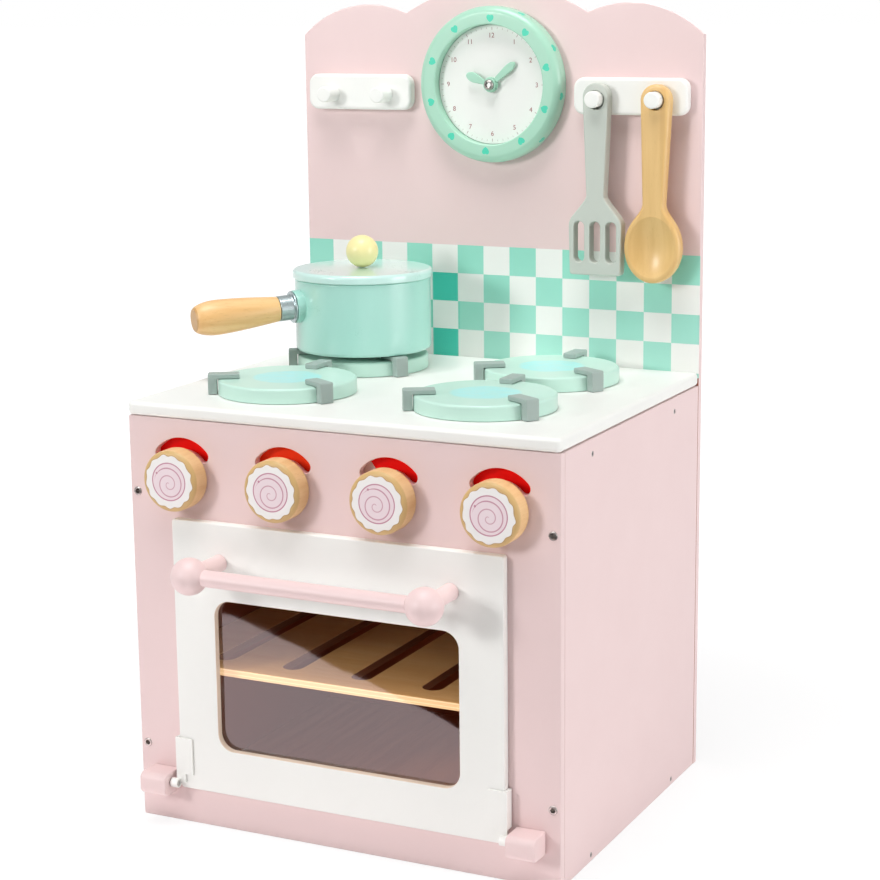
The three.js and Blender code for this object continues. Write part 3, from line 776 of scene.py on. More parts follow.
@dataclass(frozen=True)
class SmokedPlastic(Finish):
    """A clear brown sheet: light passes straight through it, tinted, and its faces mirror a little."""

    tint: Colour = (0.92, 0.865, 0.78, 1.0)
    index: float = 1.6
    haze_size: float = 30.0
    warp: float = 0.05

    def build(self) -> Material:
        """Make the sheet as a Fresnel mix of a tinted clear shader and a mirror one.

        Its outer faces mirror for both faces of the sheet.
        """
        graph = Graph(self.name)
        haze = graph.noise(graph.place(), self.haze_size, 2.0)
        outside = 1 - Signal(graph, graph.node("ShaderNodeNewGeometry").outputs["Backfacing"])
        clear = graph.node("ShaderNodeBsdfTransparent", values={"Color": self.tint})
        polish = {"Roughness": 0.02 + 0.03 * haze, "Normal": graph.bump(haze * self.warp)}
        mirror = graph.node("ShaderNodeBsdfGlossy", values=polish)
        fresnel = Signal(graph, graph.node("ShaderNodeFresnel", values={"IOR": self.index}).outputs[0])
        return graph.finish(graph.blend(fresnel * 2 * outside, clear, mirror))


PINK_PAINT = Paint("pink_paint", Tone.PINK)
SIDE_PAINT = LinedPaint("side_pink_paint", Tone.PINK)
WHITE_PAINT = Paint("white_paint", Tone.WHITE)
HAND_PAINT = Paint("hand_mint_paint", Tone.RING_MINT, roughness=0.4)
PAN_PAINT = Paint("pan_mint_paint", Tone.PAN_MINT, roughness=0.3, peel=0.004, coat=0.7)
# Painted light in part: the lid's mint is paler than the pan's for the light and reflection that its top
# catches from above.
LID_LIT_PAINT = Paint("lid_lit_mint_paint", Tone.LID_LIT_MINT, roughness=0.3, peel=0.0, coat=1.0)
GREY_PAINT = Paint("support_grey_paint", Tone.SUPPORT_GREY, roughness=0.5)
SILVER_PAINT = Paint("silver_grey_paint", Tone.SILVER_GREY, roughness=0.4)
YELLOW_PAINT = Paint("yellow_paint", Tone.YELLOW, roughness=0.34)
WHITE_PLASTIC = Paint("white_plastic", Tone.WHITE, roughness=0.32, mottle=0.015, peel=0.004)
NUMERAL_INK = Paint("numeral_ink", Tone.NUMERAL, roughness=0.6)
PLATED_STEEL = Metal("plated_steel")
SCREW_STEEL = Metal("screw_steel", (0.45, 0.42, 0.4, 1.0), 0.3)
FERRULE_STEEL = Metal("ferrule_steel", (0.47, 0.55, 0.56, 1.0), 0.3)
BARE_WOOD = Timber("bare_wood", Tone.RAW_LIGHT, Tone.RAW_DARK, (0.0, 1.0, 0.0))


# Shapes


def added(name: str, data: Any) -> Object:
    """Add an object with this mesh, light or camera to the scene and return it."""
    made = bpy.data.objects.new(name, data)
    bpy.context.scene.collection.objects.link(made)
    return made


def hide_from(hidden: Object, *rays: str) -> None:
    """Hide an object from kinds of rays."""
    for ray in rays:
        setattr(hidden, f"visible_{ray}", False)


@dataclass(frozen=True)
class Place:
    """Where a drawing stands: its origin in millimetres and its unit axes.

    The third axis, along, is across x upward.
    """

    origin: Triple
    across: Triple = (1.0, 0.0, 0.0)
    upward: Triple = (0.0, 1.0, 0.0)

    def put(self, local: Array) -> Array:
        """Return points in the object's frame. The array's last axis is across, upward and along."""
        across = np.array(self.across)
        upward = np.array(self.upward)
        axes = np.stack([across, upward, np.cross(across, upward)])
        return local @ axes + np.array(self.origin)

    @staticmethod
    def lying(x: float, y: float, z: float) -> "Place":
        """Return a place for a drawing in plan, whose heights run upwards."""
        return Place((x, y, z))

    @staticmethod
    def facing(x: float, y: float, z: float, turn: float = 0.0) -> "Place":
        """Return a place for an upright drawing, turned clockwise by degrees. Heights run forwards."""
        angle = math.radians(turn)
        cosine, sine = math.cos(angle), math.sin(angle)
        return Place((x, y, z), (cosine, 0.0, -sine), (sine, 0.0, cosine))

    @staticmethod
    def sideways(x: float, y: float, z: float) -> "Place":
        """Return a place for a drawing of depth and height, whose own heights run to the right."""
        return Place((x, y, z), (0.0, 1.0, 0.0), UPWARD)


def arc(x: float, y: float, radius: float, start: float, end: float, steps: int = 8) -> Array:
    """Return points on a circle from one angle to another, in degrees, as rows of two."""
    angles = np.radians(np.linspace(start, end, steps + 1))
    return np.stack([x + radius * np.cos(angles), y + radius * np.sin(angles)], axis=1)


def lower(radius: float, height: float, ease: float, steps: int) -> Array:
    """Return the rounded lower edge of a profile, from its face to its side."""
    return arc(radius - ease, height + ease, ease, -90, 0, steps)


def upper(radius: float, height: float, ease: float, steps: int) -> Array:
    """Return the rounded upper edge of a profile, from its side to its face."""
    return arc(radius - ease, height - ease, ease, 0, 90, steps)


def line_of(*points: Pair) -> Array:
    """Return given points as rows of two."""
    return np.array(points, dtype=float)


def rounded_box(
    left: float, right: float, bottom: float, top: float, radius: float, steps: int = 8
) -> Array:
    """Draw a rectangle with quarter-round corners.

    Args:
        left, right, bottom, top: its sides.
        radius: its corners' radius.
        steps: how many lines draw a corner.

    Returns:
        Its points, anticlockwise, as rows of two.
    """
    corners = (
        (right - radius, bottom + radius, -90), (right - radius, top - radius, 0),
        (left + radius, top - radius, 90), (left + radius, bottom + radius, 180),
    )
    return np.concatenate([arc(x, y, radius, start, start + 90, steps) for x, y, start in corners])


def ring(x: float, y: float, radius: float, steps: int = 48) -> Array:
    """Return a circle, anticlockwise, without its last point twice."""
    return arc(x, y, radius, 0, 360, steps)[:-1]


def bezier(start: Pair, pull: Pair, push: Pair, end: Pair, steps: int = 12) -> Array:
    """Draw a cubic curve: (1-t)^3 a + 3(1-t)^2 t b + 3(1-t) t^2 c + t^3 d.

    Args:
        start, pull, push, end: its control points, a to d.
        steps: how many lines draw it.

    Returns:
        Its points as rows of two.
    """
    t = np.linspace(0, 1, steps + 1)[:, None]
    a, b, c, d = (np.array(point, dtype=float) for point in (start, pull, push, end))
    return (1 - t) ** 3 * a + 3 * (1 - t) ** 2 * t * b + 3 * (1 - t) * t * t * c + t**3 * d


def mirrored(outline: Array) -> Array:
    """Return an outline's image on the other side of x = 0, in the opposite order."""
    return outline[::-1] * np.array([-1.0, 1.0])


def tidy(loop: Array) -> Array:
    """Return a closed loop without points that repeat the one before."""
    apart = np.linalg.norm(loop - np.roll(loop, 1, axis=0), axis=1)
    return loop[apart > 1e-6]


def inset(loop: Array, width: float) -> Array:
    """Move a closed loop to its left, along the mitre of each corner.

    With unit edge normals m before a point and n after it, the point moves by
    width * (m + n) / (1 + m . n).

    Args:
        loop: rows of two.
        width: how far its edges move, in millimetres.

    Returns:
        The moved loop.
    """
    after = np.roll(loop, -1, axis=0) - loop
    after /= np.linalg.norm(after, axis=1, keepdims=True)
    normal = np.stack([-after[:, 1], after[:, 0]], axis=1)
    before = np.roll(normal, 1, axis=0)
    mitre = (before + normal) / (1 + np.sum(before * normal, axis=1, keepdims=True))
    return loop + width * mitre


def at_height(loop: Array, height: float) -> Array:
    """Return rows of two as rows of three, all at one height."""
    return np.concatenate([loop, np.full((len(loop), 1), height)], axis=1)


def quarter(radius: float, steps: int) -> Array:
    """Return a quarter round as rows of (inset, drop), from the face's edge to the side."""
    angles = np.radians(np.linspace(0, 90, steps + 1))
    return np.stack([radius * (1 - np.sin(angles)), radius * (1 - np.cos(angles))], axis=1)


class Shell:
    """One mesh under construction, in millimetres. Grids and caps are added, then made an object."""

    def __init__(self, name: str) -> None:
        """Start an empty mesh."""
        self.name = name
        self.points: list[Array] = []
        self.faces: list[tuple[int, ...]] = []
        self.count = 0
        self.cuts: list[tuple[Triple, Triple]] = []

    def _add(self, points: Array) -> int:
        """Add points and return the number of the first."""
        first = self.count
        self.points.append(points.reshape(-1, 3))
        self.count += points.reshape(-1, 3).shape[0]
        return first

    def grid(self, points: Array, wrap: bool = True) -> "Shell":
        """Add a surface through a grid of points.

        Args:
            points: rows by columns by 3, with neighbours joined as quads.
            wrap: whether the last column joins the first.

        Returns:
            This shell.
        """
        rows, columns = points.shape[:2]
        index = np.arange(rows * columns).reshape(rows, columns) + self._add(points)
        if wrap:
            index = np.concatenate([index, index[:, :1]], axis=1)
        quads = np.stack([index[:-1, :-1], index[:-1, 1:], index[1:, 1:], index[1:, :-1]], axis=-1)
        self.faces += [tuple(quad) for quad in quads.reshape(-1, 4).tolist()]
        return self

    def patch(self, points: Array, faces: Sequence[Sequence[int]]) -> "Shell":
        """Add points, and faces whose corners number them from 0, and return this shell."""
        first = self._add(points)
        self.faces += [tuple(first + corner for corner in face) for face in faces]
        return self

    def cap(self, loops: Sequence[Array], height: float, place: Place) -> "Shell":
        """Add a flat face between loops.

        Args:
            loops: rows of two; the first is its outline and the others are holes.
            height: where it stands along the place's line.
            place: the place of the drawing.

        Returns:
            This shell.
        """
        flat = np.concatenate(loops)
        polygons = [[Vector((x, y, 0.0)) for x, y in loop.tolist()] for loop in loops]
        return self.patch(place.put(at_height(flat, height)), tessellate_polygon(polygons))

    def turn(self, profile: Array, place: Place, segments: int = 72) -> "Shell":
        """Add a profile turned about its place's line.

        Args:
            profile: rows of (radius, height); a radius of 0 is a pole.
            place: its origin is on the line, and heights run along it.
            segments: columns round the turn.

        Returns:
            This shell, with points radius * cos(t), radius * sin(t), height.
        """
        t = np.linspace(0, TAU, segments, endpoint=False)
        radius = profile[:, :1]
        height = np.broadcast_to(profile[:, 1:], (len(profile), segments))
        return self.grid(place.put(np.stack([radius * np.cos(t), radius * np.sin(t), height], axis=-1)))

    def trim(self, point: Triple, outward: Triple) -> "Shell":
        """Note a plane that cuts away what lies on its outward side."""
        self.cuts.append((point, outward))
        return self

    def make(
        self, finish: Finish, body: str, replaced: Sequence[str] = (), slot: str = ""
    ) -> Object:
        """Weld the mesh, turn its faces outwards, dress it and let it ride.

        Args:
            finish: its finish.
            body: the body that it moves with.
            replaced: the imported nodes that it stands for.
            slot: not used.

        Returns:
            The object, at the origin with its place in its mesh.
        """
        mesh = bpy.data.meshes.new(self.name)
        mesh.from_pydata((np.concatenate(self.points) * MM).tolist(), [], self.faces)
        shape = bmesh.new()
        shape.from_mesh(mesh)
        bmesh.ops.remove_doubles(shape, verts=shape.verts, dist=WELD * MM)
        for point, outward in self.cuts:
            everything = shape.verts[:] + shape.edges[:] + shape.faces[:]
            bmesh.ops.bisect_plane(
                shape, geom=everything, dist=1e-7, clear_outer=True,
                plane_co=Vector(point) * MM, plane_no=Vector(outward),
            )
            bmesh.ops.holes_fill(shape, edges=[edge for edge in shape.edges if edge.is_boundary])
        bmesh.ops.recalc_face_normals(shape, faces=shape.faces)
        shape.to_mesh(mesh)
        shape.free()
        mesh.shade_smooth()
        mesh.set_sharp_from_angle(angle=math.radians(SHARP_FROM))
        mesh.materials.append(material_of(finish))
        made = added(self.name, mesh)
        made.modifiers.new("even_normals", "WEIGHTED_NORMAL").keep_sharp = True
        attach(made, body)
        if replaced:
            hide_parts(*replaced)
        LOG.info("%s: %d faces", self.name, len(mesh.polygons))
        return made


@dataclass
class Board:
    """A flat piece cut from an outline, with eased edges and any number of cuts."""

    outline: Array
    thick: float
    ease: float
    steps: int = 4
    holes: list[tuple[Array, float]] = field(default_factory=list)
    rebates: list[tuple[Array, float, float, float]] = field(default_factory=list)
    dishes: list[tuple[Array, Pair, Array]] = field(default_factory=list)
    pockets: list[tuple[Array, float]] = field(default_factory=list)

    def _edge(self, shell: Shell, loop: Array, rows: Array, place: Place) -> tuple[Array, Array]:
        """Carry a section round a loop.

        Args:
            shell: what the wall is added to.
            loop: rows of two.
            rows: the section, as rows of (inset, height).
            place: the board's place.

        Returns:
            The loops of the first and the last row.
        """
        loops = [inset(loop, width) for width in rows[:, 0]]
        shell.grid(place.put(np.stack([at_height(*pair) for pair in zip(loops, rows[:, 1])])))
        return loops[0], loops[-1]

    def _rows(self, ease: float) -> Array:
        """Return the edge's rows of (inset, height), rounded at the front face and at the back one."""
        front = quarter(ease, self.steps)
        front_rows = np.stack([front[:, 0], self.thick - front[:, 1]], axis=1)
        back_rows = front[::-1]
        return np.concatenate([front_rows, back_rows])

    def draw(self, shell: Shell, place: Place) -> Shell:
        """Add the board to a shell, with its back face at height 0 and its front face at its thickness.

        All loops run anticlockwise. Holes are (loop, ease). Rebates are (loop, ease, width, depth)
        and widen towards the back. Dishes are (loop, centre, rows of scale and depth) and end in a
        pole. Pockets are (loop, depth) and have a flat floor.

        Args:
            shell: what it is added to.
            place: the place of its outline.

        Returns:
            The shell.
        """
        edge_front, edge_back = self._edge(shell, tidy(self.outline), self._rows(self.ease), place)
        front, back = [edge_front], [edge_back]

        def cut(loop: Array, rows: Array) -> Array:
            """Carry a wall round a hole, note its edge on the front face and return its last edge."""
            first, last = self._edge(shell, tidy(loop)[::-1], rows, place)
            front.append(first)
            return last

        for loop, ease in self.holes:
            back.append(cut(loop, self._rows(ease)))
        for loop, ease, width, depth in self.rebates:
            nose = quarter(ease, self.steps)
            rounded = np.stack([nose[:, 0], self.thick - nose[:, 1]], axis=1)
            step = line_of((0.0, depth), (width, depth), (width, 0.0))
            back.append(cut(loop, np.concatenate([rounded, step])))
        for loop, centre, rows in self.dishes:
            around = tidy(loop) - np.array(centre)
            local = [
                at_height(around * scale + np.array(centre), self.thick - depth)
                for scale, depth in rows
            ]
            shell.grid(place.put(np.stack(local)))
            front.append(tidy(loop))
        for loop, depth in self.pockets:
            floor = cut(loop, line_of((0.0, self.thick), (0.0, self.thick - depth)))
            shell.cap([floor], self.thick - depth, place)
        shell.cap(front, self.thick, place)
        shell.cap(back, 0.0, place)
        return shell

    def make(
        self, name: str, place: Place, finish: Finish, body: str,
        replaced: Sequence[str] = (), slot: str = "",
    ) -> Object:
        """Make the board an object; see Shell.make for the arguments."""
        return self.draw(Shell(name), place).make(finish, body, replaced, slot)


def turned(
    name: str, profile: Array, place: Place, finish: Finish, body: str,
    replaced: Sequence[str] = (), slot: str = "", segments: int = 72,
) -> Object:
    """Make a turned piece; see Shell.turn and Shell.make for the arguments."""
    return Shell(name).turn(profile, place, segments).make(finish, body, replaced, slot)


class Packed:
    """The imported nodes: their boxes in millimetres and their materials."""

    def __init__(self, frame: dict[str, Any]) -> None:
        """Keep the loaded frame."""
        self.frame = frame

    def span(self, node: str) -> tuple[Array, Array]:
        """Return a node's lowest and highest corners in millimetres."""
        low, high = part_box(node)
        return np.array(low) / MM, np.array(high) / MM

    def centre(self, node: str) -> Array:
        """Return the middle of a node's box in millimetres."""
        low, high = self.span(node)
        return (low + high) / 2

    def dress(self, node: str, finish: Finish) -> None:
        """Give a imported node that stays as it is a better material."""
        slots = self.frame["nodes"][node].material_slots
        for slot in slots:
            slot.material = material_of(finish)


def screw_head(
    name: str, place: Place, radius: float, rise: float, depth: float, body: str
) -> Object:
    """Make a screw's head with a hexagonal socket, and the start of its shank.

    Args:
        name: the object's name.
        place: its origin is on the board's face under the head, and heights run outwards.
        radius: the head's radius in millimetres.
        rise: its height over the face.
        depth: how far the socket goes below the face, in a hole of 0.6 of the head's radius.
        body: the body that it moves with.

    Returns:
        The head. A row's radius is constant outside. In the socket it is
        flat / cos(t mod 60 - 30 degrees), a hexagon.
    """
    flat, shank, bevel = radius * 0.52, radius * 0.58, 1.12
    t = np.linspace(0, TAU, 48, endpoint=False)
    hexagon = flat / np.cos(np.mod(t, TAU / 6) - TAU / 12)
    circle = np.ones_like(t)
    outside = [(0.0, -depth - 0.5), (shank, -depth - 0.5), (shank, 0.0), (radius, 0.0)]
    dome = arc(radius - rise, 0, rise, 0, 80, 5)
    rows = [(circle * r, h) for r, h in [*outside, *dome.tolist()]]
    rows += [(hexagon * bevel, rise), (hexagon, rise - 0.15), (hexagon, -depth)]
    rows.append((circle * 0.0, -depth - 0.1))
    local = np.stack([
        np.stack([radii * np.cos(t), radii * np.sin(t), np.full_like(t, height)], axis=1)
        for radii, height in rows
    ])
    return Shell(name).grid(place.put(local)).make(SCREW_STEEL, body)


# Sub-assemblies


@dataclass
class Cabinet:
    """The carcass: front panel, sides, worktop and back board, with the furniture screws."""

    packed: Packed
    tiles: TiledPaint = TiledPaint("tiled_pink_paint", Tone.PINK)
    opening: tuple[float, float, float, float] = (104.0, 41.0, 193.0, 8.0)
    knob_xs: tuple[float, ...] = (-110.8, -36.9, 36.9, 110.8)
    knob_z: float = 232.8
    spindle_hole: float = 4.6
    slot_outer: float = 25.3
    slot_inner: float = 17.0
    slot_half_angle: float = 47.5
    side_hump: Triple = (98.0, 449.5, 75.0)
    middle_hump: Triple = (0.0, 402.5, 134.5)
    panel_ease: float = 0.7
    worktop_ease: float = 2.6
    screw_radius: float = 2.9
    side_screw_radius: float = 1.7
    side_screws: tuple[Pair, ...] = ((-73.4, 4.4), (70.7, 4.4), (-73.4, 260.5), (69.3, 260.6))
    screw_x: float = 145.0
    screw_rise: float = 0.6
    side_screw_rise: float = 0.3
    socket: float = 3.0
    side_socket: float = 0.6
    back_sink: float = 0.65
    side_sink: float = 0.35
    front_screw_zs: Pair = (50.4, 220.5)
    back_screw_zs: Triple = (30.0, 135.0, 240.0)

    def screw_holes(self, heights: Sequence[float], radius: float) -> list[tuple[Array, float]]:
        """Return the holes that the screws at both edges of a board need, at given heights."""
        return [(ring(x, z, radius, 32), 0.1) for x in (-self.screw_x, self.screw_x) for z in heights]

    def curved_slot(self, x: float) -> Array:
        """Draw the slot over a knob: two arcs about the knob's line, joined by round ends.

        Args:
            x: the knob's place across the front.

        Returns:
            The slot's loop, anticlockwise.
        """
        middle = (self.slot_outer + self.slot_inner) / 2
        end_radius = (self.slot_outer - self.slot_inner) / 2
        left = 90 + self.slot_half_angle
        right = 90 - self.slot_half_angle

        def round_end(angle: float, start: float) -> Array:
            """Return the half circle that closes the slot at an angle."""
            turn = math.radians(angle)
            end_x, end_z = x + middle * math.cos(turn), self.knob_z + middle * math.sin(turn)
            return arc(end_x, end_z, end_radius, start, start + 180, 10)

        return np.concatenate([
            arc(x, self.knob_z, self.slot_outer, right, left, 28), round_end(left, left),
            arc(x, self.knob_z, self.slot_inner, left, right, 28), round_end(right, right + 180),
        ])

    def crest(self, half: float) -> Array:
        """Draw the back board's outline: straight sides under three round humps.

        The middle hump meets a side hump in a valley, where their circles cross.

        Args:
            half: half of the board's width.

        Returns:
            The outline, anticlockwise.
        """
        side_x, side_z, side_r = self.side_hump
        _, middle_z, middle_r = self.middle_hump
        apart = math.hypot(side_x, side_z - middle_z)
        along = (middle_r**2 - side_r**2 + apart**2) / (2 * apart)
        aside = math.sqrt(middle_r**2 - along**2)
        valley_x = (along * side_x - aside * (side_z - middle_z)) / apart
        valley_z = middle_z + (along * (side_z - middle_z) + aside * side_x) / apart
        shoulder = math.degrees(math.atan2(math.sqrt(side_r**2 - (half - side_x) ** 2), half - side_x))
        inner = math.degrees(math.atan2(valley_z - side_z, valley_x - side_x))
        top = math.degrees(math.atan2(valley_z - middle_z, valley_x))
        return np.concatenate([
            line_of((-half, 0.0), (half, 0.0)),
            arc(side_x, side_z, side_r, shoulder, inner, 36),
            arc(0.0, middle_z, middle_r, top, 180 - top, 40),
            arc(-side_x, side_z, side_r, 180 - inner, 180 - shoulder, 36),
        ])

    def front_panel(self) -> None:
        """Make the front panel with the oven's opening, the knobs' slots and the spindles' holes."""
        low, high = self.packed.span("front_panel")
        half, bottom, top, corner = self.opening
        screws = self.screw_holes(self.front_screw_zs, self.screw_radius * 0.6)
        holes = [(rounded_box(-half, half, bottom, top, corner), 0.5), *screws]
        for x in self.knob_xs:
            holes.append((self.curved_slot(x), 0.5))
            holes.append((ring(x, self.knob_z, self.spindle_hole), 0.3))
        outline = rounded_box(low[0], high[0], low[2], high[2], 1.0, 4)
        board = Board(outline, high[1] - low[1], self.panel_ease, holes=holes)
        place = Place.facing(0, high[1], 0)
        board.make("front_board", place, PINK_PAINT, "root", ["front_panel"], "pink_paint")

    def sides(self) -> None:
        """Make the two side panels."""
        for node in ("side_panel_left", "side_panel_right"):
            low, high = self.packed.span(node)
            outline = rounded_box(low[1], high[1], low[2], high[2], 0.8, 3)
            holes = [(ring(y, z, self.side_screw_radius + 0.1, 24), 0.1) for y, z in self.side_screws]
            board = Board(outline, high[0] - low[0], self.panel_ease, holes=holes)
            name = node.replace("panel", "board")
            board.make(name, Place.sideways(low[0], 0, 0), SIDE_PAINT, "root", [node], "pink_paint")

    def worktop(self) -> None:
        """Make the white worktop with its well rounded edges."""
        low, high = self.packed.span("worktop")
        outline = rounded_box(low[0], high[0], low[1], high[1], 3.0, 6)
        board = Board(outline, high[2] - low[2], self.worktop_ease, steps=6)
        place = Place.lying(0, 0, low[2])
        board.make("white_worktop", place, WHITE_PAINT, "root", ["worktop"], "white_paint")

    def back(self) -> None:
        """Make the tall back board with its humped crest and its printed tiles."""
        low, high = self.packed.span("back_board")
        holes = self.screw_holes(self.back_screw_zs, self.screw_radius + 0.1)
        board = Board(self.crest(high[0]), high[1] - low[1], self.panel_ease, holes=holes)
        place = Place.facing(0, high[1], 0)
        board.make("tall_back_board", place, self.tiles, "root", ["back_board"], "pink_paint")

    def screws(self) -> None:
        """Make the socket-head screws on the front corners, the sides and the back."""
        front = self.packed.span("front_panel")[0][1]
        back = self.packed.span("back_board")[1][1]
        left = self.packed.span("side_panel_left")[0][0]
        right = self.packed.span("side_panel_right")[1][0]
        large = (self.screw_radius, self.screw_rise, self.socket)
        small = (self.side_screw_radius, self.side_screw_rise, self.side_socket)
        for column, x in (("left", -self.screw_x), ("right", self.screw_x)):
            for row, z in enumerate(self.front_screw_zs, start=1):
                screw_head(f"front_screw_{column}_{row}", Place.facing(x, front, z), *large, "root")
            for row, z in enumerate(self.back_screw_zs, start=1):
                place = Place((x, back - self.back_sink, z), (-1.0, 0.0, 0.0), UPWARD)
                screw_head(f"back_screw_{column}_{row}", place, *large, "root")
        for row, (y, z) in enumerate(self.side_screws, start=1):
            right_place = Place.sideways(right - self.side_sink, y, z)
            left_place = Place((left + self.side_sink, y, z), (0.0, -1.0, 0.0), UPWARD)
            screw_head(f"right_screw_{row}", right_place, *small, "root")
            screw_head(f"left_screw_{row}", left_place, *small, "root")

    def build(self) -> None:
        """Build the carcass."""
        self.front_panel()
        self.sides()
        self.worktop()
        self.back()
        self.screws()
        self.packed.dress("base_panel", BARE_WOOD)
        for side in ("left", "right"):
            self.packed.dress(f"worktop_batten_{side}", BARE_WOOD)
            self.packed.dress(f"shelf_batten_{side}", BARE_WOOD)


@dataclass
class Shelf:
    """The slotted plywood shelf inside the oven."""

    packed: Packed
    slot_xs: tuple[float, ...] = (-101.0, -50.5, 0.0, 50.5, 101.0)
    slot_width: float = 14.0
    slot_front: float = 15.5
    slot_back: float = 30.0
    slot_ease: float = 0.2
    ease: float = 0.3

    def build(self) -> None:
        """Build the shelf from its packed box."""
        low, high = self.packed.span("oven_shelf")
        half = self.slot_width / 2
        near, far = low[1] + self.slot_front, high[1] - self.slot_back
        slots = [
            (rounded_box(x - half, x + half, near, far, half - 0.01, 10), self.slot_ease)
            for x in self.slot_xs
        ]
        plywood = Plywood(
            "birch_plywood", Tone.BIRCH_LIGHT, Tone.BIRCH_DARK, (1.0, 0.0, 0.0), 7.0, 0.5,
            low=float(low[2]), front=float(low[1]),
        )
        outline = rounded_box(low[0], high[0], low[1], high[1], 1.0, 3)
        board = Board(outline, high[2] - low[2], self.ease, holes=slots)
        place = Place.lying(0, 0, low[2])
        board.make("slotted_shelf", place, plywood, "root", ["oven_shelf"], "plywood")


@dataclass
class Controls:
    """Four knobs, and the painted discs on their spindles behind the front panel."""

    packed: Packed
    round_edge: float = 3.2
    back_edge: float = 2.5
    bore: float = 4.3
    bore_depth: float = 10.5
    spindle: float = 4.0
    disc_thick: float = 1.6
    orange_disc: int = 2
    red_edges: tuple[float, ...] = (90.0, 90.0, 36.0, 90.0)
    print_turns: tuple[float, ...] = (0.0, -8.0, -26.0, 0.0)

    def knob(self, number: int) -> None:
        """Make one knob: a turned block with a rounded front edge and a bore for its spindle.

        Args:
            number: its number from the left.
        """
        node = f"knob_{number}"
        low, high = self.packed.span(node)
        x, _, z = self.packed.centre(node)
        radius, thick = (high[0] - low[0]) / 2, high[1] - low[1]
        profile = np.concatenate([
            line_of((0, self.bore_depth), (self.bore, self.bore_depth), (self.bore, 0)),
            lower(radius, 0, self.back_edge, 4), upper(radius, thick, self.round_edge, 8),
            line_of((0, thick)),
        ])
        wood = KnobWood(
            f"knob_wood_{number}", Tone.BEECH_LIGHT, Tone.BEECH_DARK, (0.0, 1.0, 0.0), 6.0,
            fleck=0.25, x=float(x), z=float(z), front=float(low[1]), turn=self.print_turns[number - 1],
        )
        place = Place.facing(x, high[1], z)
        turned(f"wooden_knob_{number}", profile, place, wood, node, [node], "beech")

    def disc(self, number: int) -> None:
        """Make one disc with its spindle, red over the sector that shows.

        Args:
            number: its knob's number.
        """
        node = f"indicator_{number}"
        low, high = self.packed.span(node)
        x, _, z = self.packed.centre(node)
        radius, reach = (high[0] - low[0]) / 2, high[1] - low[1]
        spindle, thick = self.spindle, self.disc_thick
        profile = np.concatenate([
            line_of((0, 0)), lower(radius, 0, 0.3, 2), upper(radius, thick, 0.3, 2),
            line_of((spindle, thick)), upper(spindle, reach, 0.5, 3), line_of((0, reach)),
        ])
        tone = Tone.ORANGE_RED if number == self.orange_disc else Tone.RED
        red = SectorPaint(
            f"sector_red_paint_{number}", tone, roughness=0.55, specular=0.1,
            x=float(x), z=float(z), left_edge=self.red_edges[number - 1],
        )
        place = Place.facing(x, high[1], z)
        turned(f"red_disc_{number}", profile, place, red, f"knob_{number}", [node], "red_paint")

    def build(self) -> None:
        """Build the four sets."""
        for number in (1, 2, 3, 4):
            self.knob(number)
            self.disc(number)


@dataclass
class Hob:
    """Four burner discs, each with three pan supports."""

    packed: Packed
    places: tuple[str, ...] = ("front_left", "front_right", "rear_left", "rear_right")
    edge: float = 1.6
    angles: Triple = (210.0, 90.0, -31.0)
    outer: float = 51.4
    inner: float = 31.0
    leg: float = 5.9
    width: float = 9.4
    finger: float = 3.2
    round_out: float = 1.1
    round_in: float = 0.8
    ease: float = 0.7

    def burner(self, where: str) -> None:
        """Make one disc with a rounded upper edge.

        Args:
            where: its corner of the hob.
        """
        node = f"burner_{where}"
        low, high = self.packed.span(node)
        x, y, _ = self.packed.centre(node)
        radius, thick = (high[0] - low[0]) / 2, high[2] - low[2]
        profile = np.concatenate([
            line_of((0, 0)), lower(radius, 0, 0.4, 2), upper(radius, thick, self.edge, 6),
            line_of((0, thick)),
        ])
        paint = BurnerPaint(f"burner_paint_{where}", Tone.PALE_MINT, x=float(x), y=float(y), coat=0.25)
        place = Place.lying(x, y, low[2])
        turned(f"burner_disc_{where}", profile, place, paint, "root", [node], "pale_mint_paint", 96)

    def support(self, where: str, number: int, angle: float) -> None:
        """Make one support: a leg beside the disc and a finger over it, cut from one bar.

        Args:
            where: its burner's corner of the hob.
            number: its number round the burner.
            angle: degrees from the right to where it stands.
        """
        node = f"pan_support_{where}_{number}"
        low, high = self.packed.span(node)
        x, y, _ = self.packed.centre(f"burner_{where}")
        height = high[2] - low[2]
        under = height - self.finger
        outline = np.concatenate([
            line_of((self.outer - self.leg, 0.0), (self.outer, 0.0)),
            upper(self.outer, height, self.round_out, 4),
            arc(self.inner + self.round_in, height - self.round_in, self.round_in, 90, 180, 4),
            line_of((self.inner, under), (self.outer - self.leg, under)),
        ])
        turn = math.radians(angle)
        outwards = (math.cos(turn), math.sin(turn), 0.0)
        aside = (-math.sin(turn), math.cos(turn), 0.0)
        origin = (x + aside[0] * self.width / 2, y + aside[1] * self.width / 2, low[2])
        place = Place(origin, outwards, UPWARD)
        board = Board(outline, self.width, self.ease)
        board.make(f"grey_support_{where}_{number}", place, GREY_PAINT, "root", [node], "grey_paint")

    def build(self) -> None:
        """Build the discs and the supports."""
        for where in self.places:
            self.burner(where)
            for number, angle in enumerate(self.angles, start=1):
                self.support(where, number, angle)


